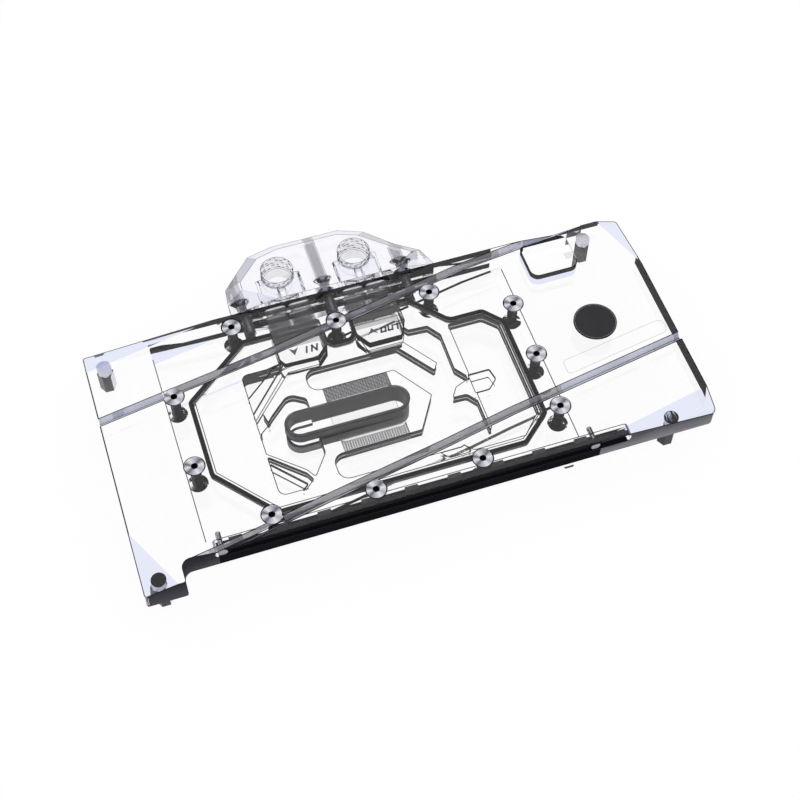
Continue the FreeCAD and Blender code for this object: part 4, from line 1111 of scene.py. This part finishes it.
@dataclass
class ColdPlate(Assembly):
    """The nickel-plated plate, the jet plate, the jet collar and the seals."""

    left_mm: float = -72.3
    right_mm: float = 73.4
    front_mm: float = -35.0
    back_mm: float = 49.3
    top_mm: float = 6.6
    fins_x_mm: float = 13.1
    fins_y_mm: float = 15.7
    fine_pitch_mm: float = 0.25
    fine_thick_mm: float = 0.1
    nickel: Metal = Metal("nickel_plated_copper", colour="#fdfdfe", roughness=0.02,
                          grain_roughness=0.02)
    fins: FinnedCopper = FinnedCopper("skived_copper_fins")
    steel: Metal = Metal("brushed_stainless_steel", colour="#fafafb", roughness=0.12,
                         grain_mm=(8.0, 0.3, 8.0), grain_roughness=0.1)
    collar: Moulded = Moulded("moulded_silicone_collar", colour="#2a2a30", variation="#3e3e46",
                              roughness=0.4, grain_mm=9.0, specular=0.12,
                              hide_mirrored=True, hide_behind_only=True)
    collar_inside: Moulded = Moulded("moulded_silicone_collar_inside", colour="#2a2a30",
                                     variation="#3e3e46", roughness=0.4, grain_mm=9.0,
                                     specular=0.12, hide_mirrored=True)
    collar_span_mm: tuple[float, float] = (-26.2, 11.2)
    seal: Moulded = Moulded("moulded_rubber_seal", colour="#1d1d20", variation="#303034",
                            roughness=0.35, grain_mm=5.0)
    line: Moulded = Moulded("plate_edge_shadow", colour="#1e1e22", variation="#3a3a40",
                            roughness=0.5, grain_mm=6.0, specular=0.0)

    def dress(self) -> None:
        """Give each piece its metal or rubber."""
        node = dress("cold_plate", [self.nickel.build(), self.fins.build()])
        for face in node.data.polygons:
            centre = face.center / MM
            in_field = abs(centre.x) < self.fins_x_mm and abs(centre.y) < self.fins_y_mm
            face.material_index = 1 if in_field and centre.z > 2.5 else 0
        dress("jet_plate", [self.steel.build()])
        ring = dress("jet_collar", [self.collar.build(), self.collar_inside.build()])
        for face in ring.data.polygons:
            centre = face.center / MM
            low, high = self.collar_span_mm
            inward = Vector((min(max(centre.x, low), high) - centre.x, -0.1 - centre.y, 0))
            face.material_index = 1 if face.normal.dot(inward) > 0 else 0
        rubber = self.seal.build()
        for name in ("main_seal", "inlet_seal", "outlet_seal"):
            dress(name, [rubber])

    def fine_fins(self) -> bpy.types.Object:
        """Stand a thin fin in each gap of the comb, so that it is as fine as the real one."""
        work = bmesh.new()
        count = int(2 * self.fins_x_mm / self.fine_pitch_mm)
        for i in range(1, count):
            x = -self.fins_x_mm + i * self.fine_pitch_mm
            bar(work, (x, -self.fins_y_mm + 0.4), (x, self.fins_y_mm - 0.4),
                self.fine_thick_mm, 2.6, self.top_mm - 1.02)
            for start, end in ((-self.fins_y_mm + 0.2, -9.9), (9.6, self.fins_y_mm - 0.2)):
                bar(work, (x, start), (x, end), self.fine_thick_mm, self.top_mm - 1.1,
                    self.top_mm - 0.02)
        bmesh.ops.recalc_face_normals(work, faces=work.faces)
        return mesh_piece("fine_fins", work, [self.fins.build()])

    def edges(self) -> bpy.types.Object:
        """Paint thin dark bars along the plate's two ends, a painted shadow for the broken edges that read as
        thin dark lines.
        """
        work = bmesh.new()
        for x in (self.left_mm + 0.18, self.right_mm - 0.18):
            bar(work, (x, self.front_mm), (x, self.back_mm), 0.36, self.top_mm - 0.02,
                self.top_mm + 0.06)
        bmesh.ops.recalc_face_normals(work, faces=work.faces)
        return mesh_piece("plate_edge_lines", work, [self.line.build()])

    def additions(self) -> list[bpy.types.Object]:
        """Add the edge lines and the fine fins."""
        return [self.edges(), self.fine_fins()]


@dataclass
class Fasteners(Assembly):
    """Turned screws for the cover, and the finish of the other screws and posts."""

    head_top_mm: float = COVER_TOP
    plate_top_mm: float = 6.75
    head_radius_mm: float = 3.85
    rim_mm: float = 0.5
    shank_radius_mm: float = 2.0
    length_mm: float = 14.6
    socket_mm: float = 2.5
    socket_depth_mm: float = 2.2
    pitch_mm: float = 0.7
    segments: int = 48
    head: TurnedHead = TurnedHead("bright_turned_head")
    shank: Metal = Metal("dark_rolled_thread", colour="#4a4a52", roughness=0.25,
                         grain_mm=(0.6, 0.6, 0.6), grain_roughness=0.2)
    socket: Moulded = Moulded("blackened_hex_socket", colour="#0e0e10", variation="#1c1c20",
                              roughness=0.5)
    bright: Metal = Metal("bright_turned_steel", colour="#9a9aa2", roughness=0.22,
                          grain_mm=(0.4, 0.4, 0.4), grain_roughness=0.1)
    black: Moulded = Moulded("black_plated_brass", colour="#232327", variation="#36363b",
                             roughness=0.3, metallic=0.4, grain_mm=4.0)
    lit: Metal = Metal("painted_highlight_post_face", colour="#e4e4f0", roughness=0.45,
                       grain_mm=(4.0, 4.0, 4.0))

    def socket_radius(self, angle: float) -> float:
        """Return the hexagon's radius in millimetres at an angle."""
        sector = (angle + math.pi / 6) % (math.pi / 3) - math.pi / 6
        return self.socket_mm / 2 / math.cos(math.pi / 6 - abs(sector))

    def profile(self) -> list[tuple[float, float, int]]:
        """List the screw's rings from the socket's rim outwards and down.

        Returns:
            Radius and height in millimetres, and the slot of the faces that end at the ring.
        """
        outer, shank = self.head_radius_mm, self.shank_radius_mm
        rings = [(outer - 0.25, 0.0, 0), (outer, -0.25, 0), (outer, -self.rim_mm, 0),
                 (shank, -self.rim_mm - (outer - shank), 1)]
        height = rings[-1][1] - 0.6
        while height > -self.length_mm + self.pitch_mm:
            rings.append((shank - 0.3, height - self.pitch_mm / 2, 1))
            rings.append((shank, height - self.pitch_mm, 1))
            height -= self.pitch_mm
        rings.append((shank - 0.4, -self.length_mm, 1))
        return rings

    def angles(self) -> list[float]:
        """List the angles of a ring's points."""
        return [math.tau * i / self.segments for i in range(self.segments)]

    def ring(self, work: bmesh.types.BMesh, radii: list[float],
             height: float) -> list[bmesh.types.BMVert]:
        """Add one ring of points, its radii and height in millimetres."""
        return [work.verts.new((r * math.cos(a) * MM, r * math.sin(a) * MM, height * MM))
                for r, a in zip(radii, self.angles())]

    def join(self, work: bmesh.types.BMesh, first: list[bmesh.types.BMVert],
             second: list[bmesh.types.BMVert], slot: int) -> None:
        """Join two rings with faces.

        Args:
            work: The mesh that gets them.
            first: The points of one ring.
            second: The points of the other.
            slot: The faces' material slot.
        """
        for i in range(self.segments):
            j = (i + 1) % self.segments
            work.faces.new((first[i], second[i], second[j], first[j])).material_index = slot

    def screw_mesh(self) -> bpy.types.Mesh:
        """Turn one screw about its own axis, its head's top at the origin."""
        work = bmesh.new()
        hexagon = [self.socket_radius(a) for a in self.angles()]
        floor = self.ring(work, hexagon, -self.socket_depth_mm)
        last = self.ring(work, hexagon, 0.0)
        work.faces.new(floor).material_index = 2
        self.join(work, floor, last, 2)
        for radius, height, slot in self.profile():
            following = self.ring(work, [radius] * self.segments, height)
            self.join(work, last, following, slot)
            last = following
        work.faces.new(last[::-1]).material_index = 1
        bmesh.ops.recalc_face_normals(work, faces=work.faces)
        mesh = bpy.data.meshes.new("cover_screw")
        work.to_mesh(mesh)
        work.free()
        for finish in (self.head, self.shank, self.socket):
            mesh.materials.append(finish.build())
        return mesh

    def additions(self) -> list[bpy.types.Object]:
        """Set a turned screw in each countersink of the cover.

        Returns:
            The screws.
        """
        mesh, screws = self.screw_mesh(), []
        for number, (x, y) in enumerate(COVER_SCREWS, start=1):
            screw = bpy.data.objects.new(f"cover_screw_{number}", mesh)
            screw.location = (x * MM, y * MM, self.head_top_mm * MM)
            bpy.context.scene.collection.objects.link(screw)
            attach(screw, Body.ROOT.value)
            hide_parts("cover_screws")
            screws.append(screw)
        return screws

    def dress(self) -> None:
        """Give the screws and posts their plating."""
        bright = self.bright.build()
        for name in ("terminal_screws", "led_screws", "cover_screws"):
            dress(name, [bright])
        black, lit = self.black.build(), self.lit.build()
        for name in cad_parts:
            if not name.startswith("standoff_"):
                continue
            node = dress(name, [black, lit])
            for face in node.data.polygons:
                # Faces turned to +x get the pale lit copy as a painted highlight; so do the studs above the
                # plate
                shown = face.normal.x > 0.5 and face.normal.y < 0.1 and abs(face.normal.z) < 0.1
                stud = face.center.z > self.plate_top_mm * MM
                face.material_index = 1 if shown or stud else 0


@dataclass
class LightStrip(Assembly):
    """The board, its light-emitting diodes and the small parts between them."""

    first_x_mm: float = -61.7
    pitch_mm: float = 16.67
    count: int = 9
    board_back_mm: float = -40.7
    middle_z_mm: float = 13.75
    board: Moulded = Moulded("black_solder_mask", colour="#141417", variation="#222226",
                             roughness=0.4)
    lens: Moulded = Moulded("led_lens_resin", colour="#36363a", variation="#4a4a50",
                            roughness=0.3, grain_mm=2.0)
    chip: Moulded = Moulded("chip_resistor_body", colour="#2c2c30", variation="#3e3e44",
                            roughness=0.4)
    tin: Metal = Metal("tinned_chip_end", colour="#8e8e96", roughness=0.3,
                       grain_mm=(0.3, 0.3, 0.3))

    def dress(self) -> None:
        """Give the board and the diodes their finish."""
        dress("led_board", [self.board.build()])
        lens = self.lens.build()
        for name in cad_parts:
            if name.startswith("led_") and name[4:].isdigit():
                dress(name, [lens])

    def additions(self) -> list[bpy.types.Object]:
        """Solder a chip resistor to the board between each two diodes.

        Returns:
            The resistors as one piece.
        """
        work = bmesh.new()
        back = self.board_back_mm
        low, high = self.middle_z_mm - 0.6, self.middle_z_mm + 0.6
        for i in range(self.count - 1):
            x = self.first_x_mm + (i + 0.5) * self.pitch_mm
            prism(work, [(x - 0.75, back - 0.05), (x + 0.75, back - 0.05),
                         (x + 0.75, back + 0.5), (x - 0.75, back + 0.5)], low, high)
            for end in (x - 1.05, x + 0.7):
                prism(work, [(end, back - 0.05), (end + 0.35, back - 0.05),
                             (end + 0.35, back + 0.55), (end, back + 0.55)], low - 0.05,
                      high + 0.05, 1)
        return [mesh_piece("board_resistors", work, [self.chip.build(), self.tin.build()])]


@dataclass
class Badge(Assembly):
    """The bare black disc."""

    centre_mm: tuple[float, float] = (97.3, 9.1)
    radius_mm: float = 8.1
    rim_mm: float = 0.14
    segments: int = 72
    top_mm: float = COVER_TOP
    disc: Moulded = Moulded("gloss_black_disc", colour="#2c2c2f", variation="#353539",
                            roughness=0.25, grain_mm=6.0, specular=0.1)
    rim: Moulded = Moulded("pale_disc_rim", colour="#5a5a60", variation="#8a8a90",
                           roughness=0.3, grain_mm=3.0)

    def dress(self) -> None:
        """Give the disc its gloss."""
        dress("badge_disc", [self.disc.build()])

    def additions(self) -> list[bpy.types.Object]:
        """Run a pale ring round the disc's edge.

        Returns:
            The rim.
        """
        work = bmesh.new()
        count = self.segments
        points = [Vector((self.centre_mm[0] + self.radius_mm * math.cos(math.tau * i / count),
                          self.centre_mm[1] + self.radius_mm * math.sin(math.tau * i / count),
                          self.top_mm)) * MM for i in range(count)]
        for start, end in zip(points, points[1:] + points[:1]):
            rod(work, start, end, self.rim_mm * MM)
        return [mesh_piece("badge_rim", work, [self.rim.build()])]


@dataclass(frozen=True)
class WhiteFloor(Finish):
    """White paint that keeps the shadow; the share adds the white that the camera sees."""

    white_share: float = 0.94

    def surface(self, tree: bpy.types.NodeTree) -> bpy.types.NodeSocket:
        """Mix the paint with plain white for camera, glossy and transmission rays.

        Args:
            tree: The material's node tree.

        Returns:
            The shader socket.
        """
        paint = add_node(tree, "ShaderNodeBsdfDiffuse", {"Color": srgb(WHITE)})
        white = add_node(tree, "ShaderNodeEmission", {"Color": srgb(WHITE), "Strength": 1.0})
        path = add_node(tree, "ShaderNodeLightPath")
        seen = path.outputs["Is Camera Ray"]
        for kind in ("Is Glossy Ray", "Is Transmission Ray"):
            seen = add_node(tree, "ShaderNodeMath", {"operation": "MAXIMUM"},
                            {0: seen, 1: path.outputs[kind]}).outputs[0]
        part = add_node(tree, "ShaderNodeMath", {"operation": "MULTIPLY", 1: self.white_share},
                        {0: seen})
        return add_node(tree, "ShaderNodeMixShader", {},
                        {0: part.outputs[0], 1: paint.outputs["BSDF"],
                         2: white.outputs["Emission"]}).outputs["Shader"]


@dataclass
class Studio:
    """A plain white floor, even soft light and the photograph's camera."""

    camera_mm: Vector = field(default_factory=lambda: Vector((-87.55, -301.82, 495.10)))
    view_right: Vector = field(default_factory=lambda: Vector((0.9499, -0.3126, 0.0033)))
    view_down: Vector = field(default_factory=lambda: Vector((-0.2591, -0.7931, -0.5512)))
    lens_mm: float = 67.87
    sensor_mm: float = 36.0
    floor_mm: float = -2.7
    floor_half_m: float = 3.0
    paint: WhiteFloor = WhiteFloor("white_floor")

    def world(self) -> None:
        """Make the even white surroundings."""
        world = bpy.data.worlds.new("studio")
        bpy.context.scene.world = world
        world.use_nodes = True
        tree = world.node_tree
        tree.nodes.clear()
        light = add_node(tree, "ShaderNodeBackground", {"Color": srgb(WHITE), "Strength": 1.0})
        add_node(tree, "ShaderNodeOutputWorld", {}, {"Surface": light.outputs["Background"]})

    def floor(self) -> None:
        """Lay the white floor under the standoffs: it keeps the shadow and shows white."""
        half = self.floor_half_m
        work = bmesh.new()
        corners = [(-half, -half), (half, -half), (half, half), (-half, half)]
        work.faces.new([work.verts.new((x, y, self.floor_mm * MM)) for x, y in corners])
        mesh = bpy.data.meshes.new("floor")
        work.to_mesh(mesh)
        work.free()
        mesh.materials.append(self.paint.build())
        floor = add_object("floor", mesh)

    def camera(self) -> None:
        """Set the camera where the photograph was taken from."""
        data = bpy.data.cameras.new("photo_camera")
        data.lens = self.lens_mm
        data.sensor_width = self.sensor_mm
        camera = add_object("photo_camera", data)
        right = self.view_right.normalized()
        back = right.cross(-self.view_down).normalized()
        up = back.cross(right)
        camera.matrix_world = Matrix.Translation(self.camera_mm * MM) @ Matrix(
            (right, up, back)).transposed().to_4x4()
        bpy.context.scene.camera = camera

    def build(self) -> None:
        """Set up light, floor and camera."""
        self.world()
        self.floor()
        self.camera()
        bpy.context.scene.view_settings.view_transform = "Standard"


def main() -> None:
    """Build and dress every piece in order."""
    logging.basicConfig(level=logging.INFO, format="%(message)s")
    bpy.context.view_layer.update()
    Studio().build()
    for part in (Cover(), Marks(), Terminal(), ColdPlate(), Fasteners(), LightStrip(), Badge()):
        part.dress()
        log.info("dressed %s", type(part).__name__)
        for piece in part.additions():
            log.info("added %s", piece.name)


if __name__ == "__main__":
    main()
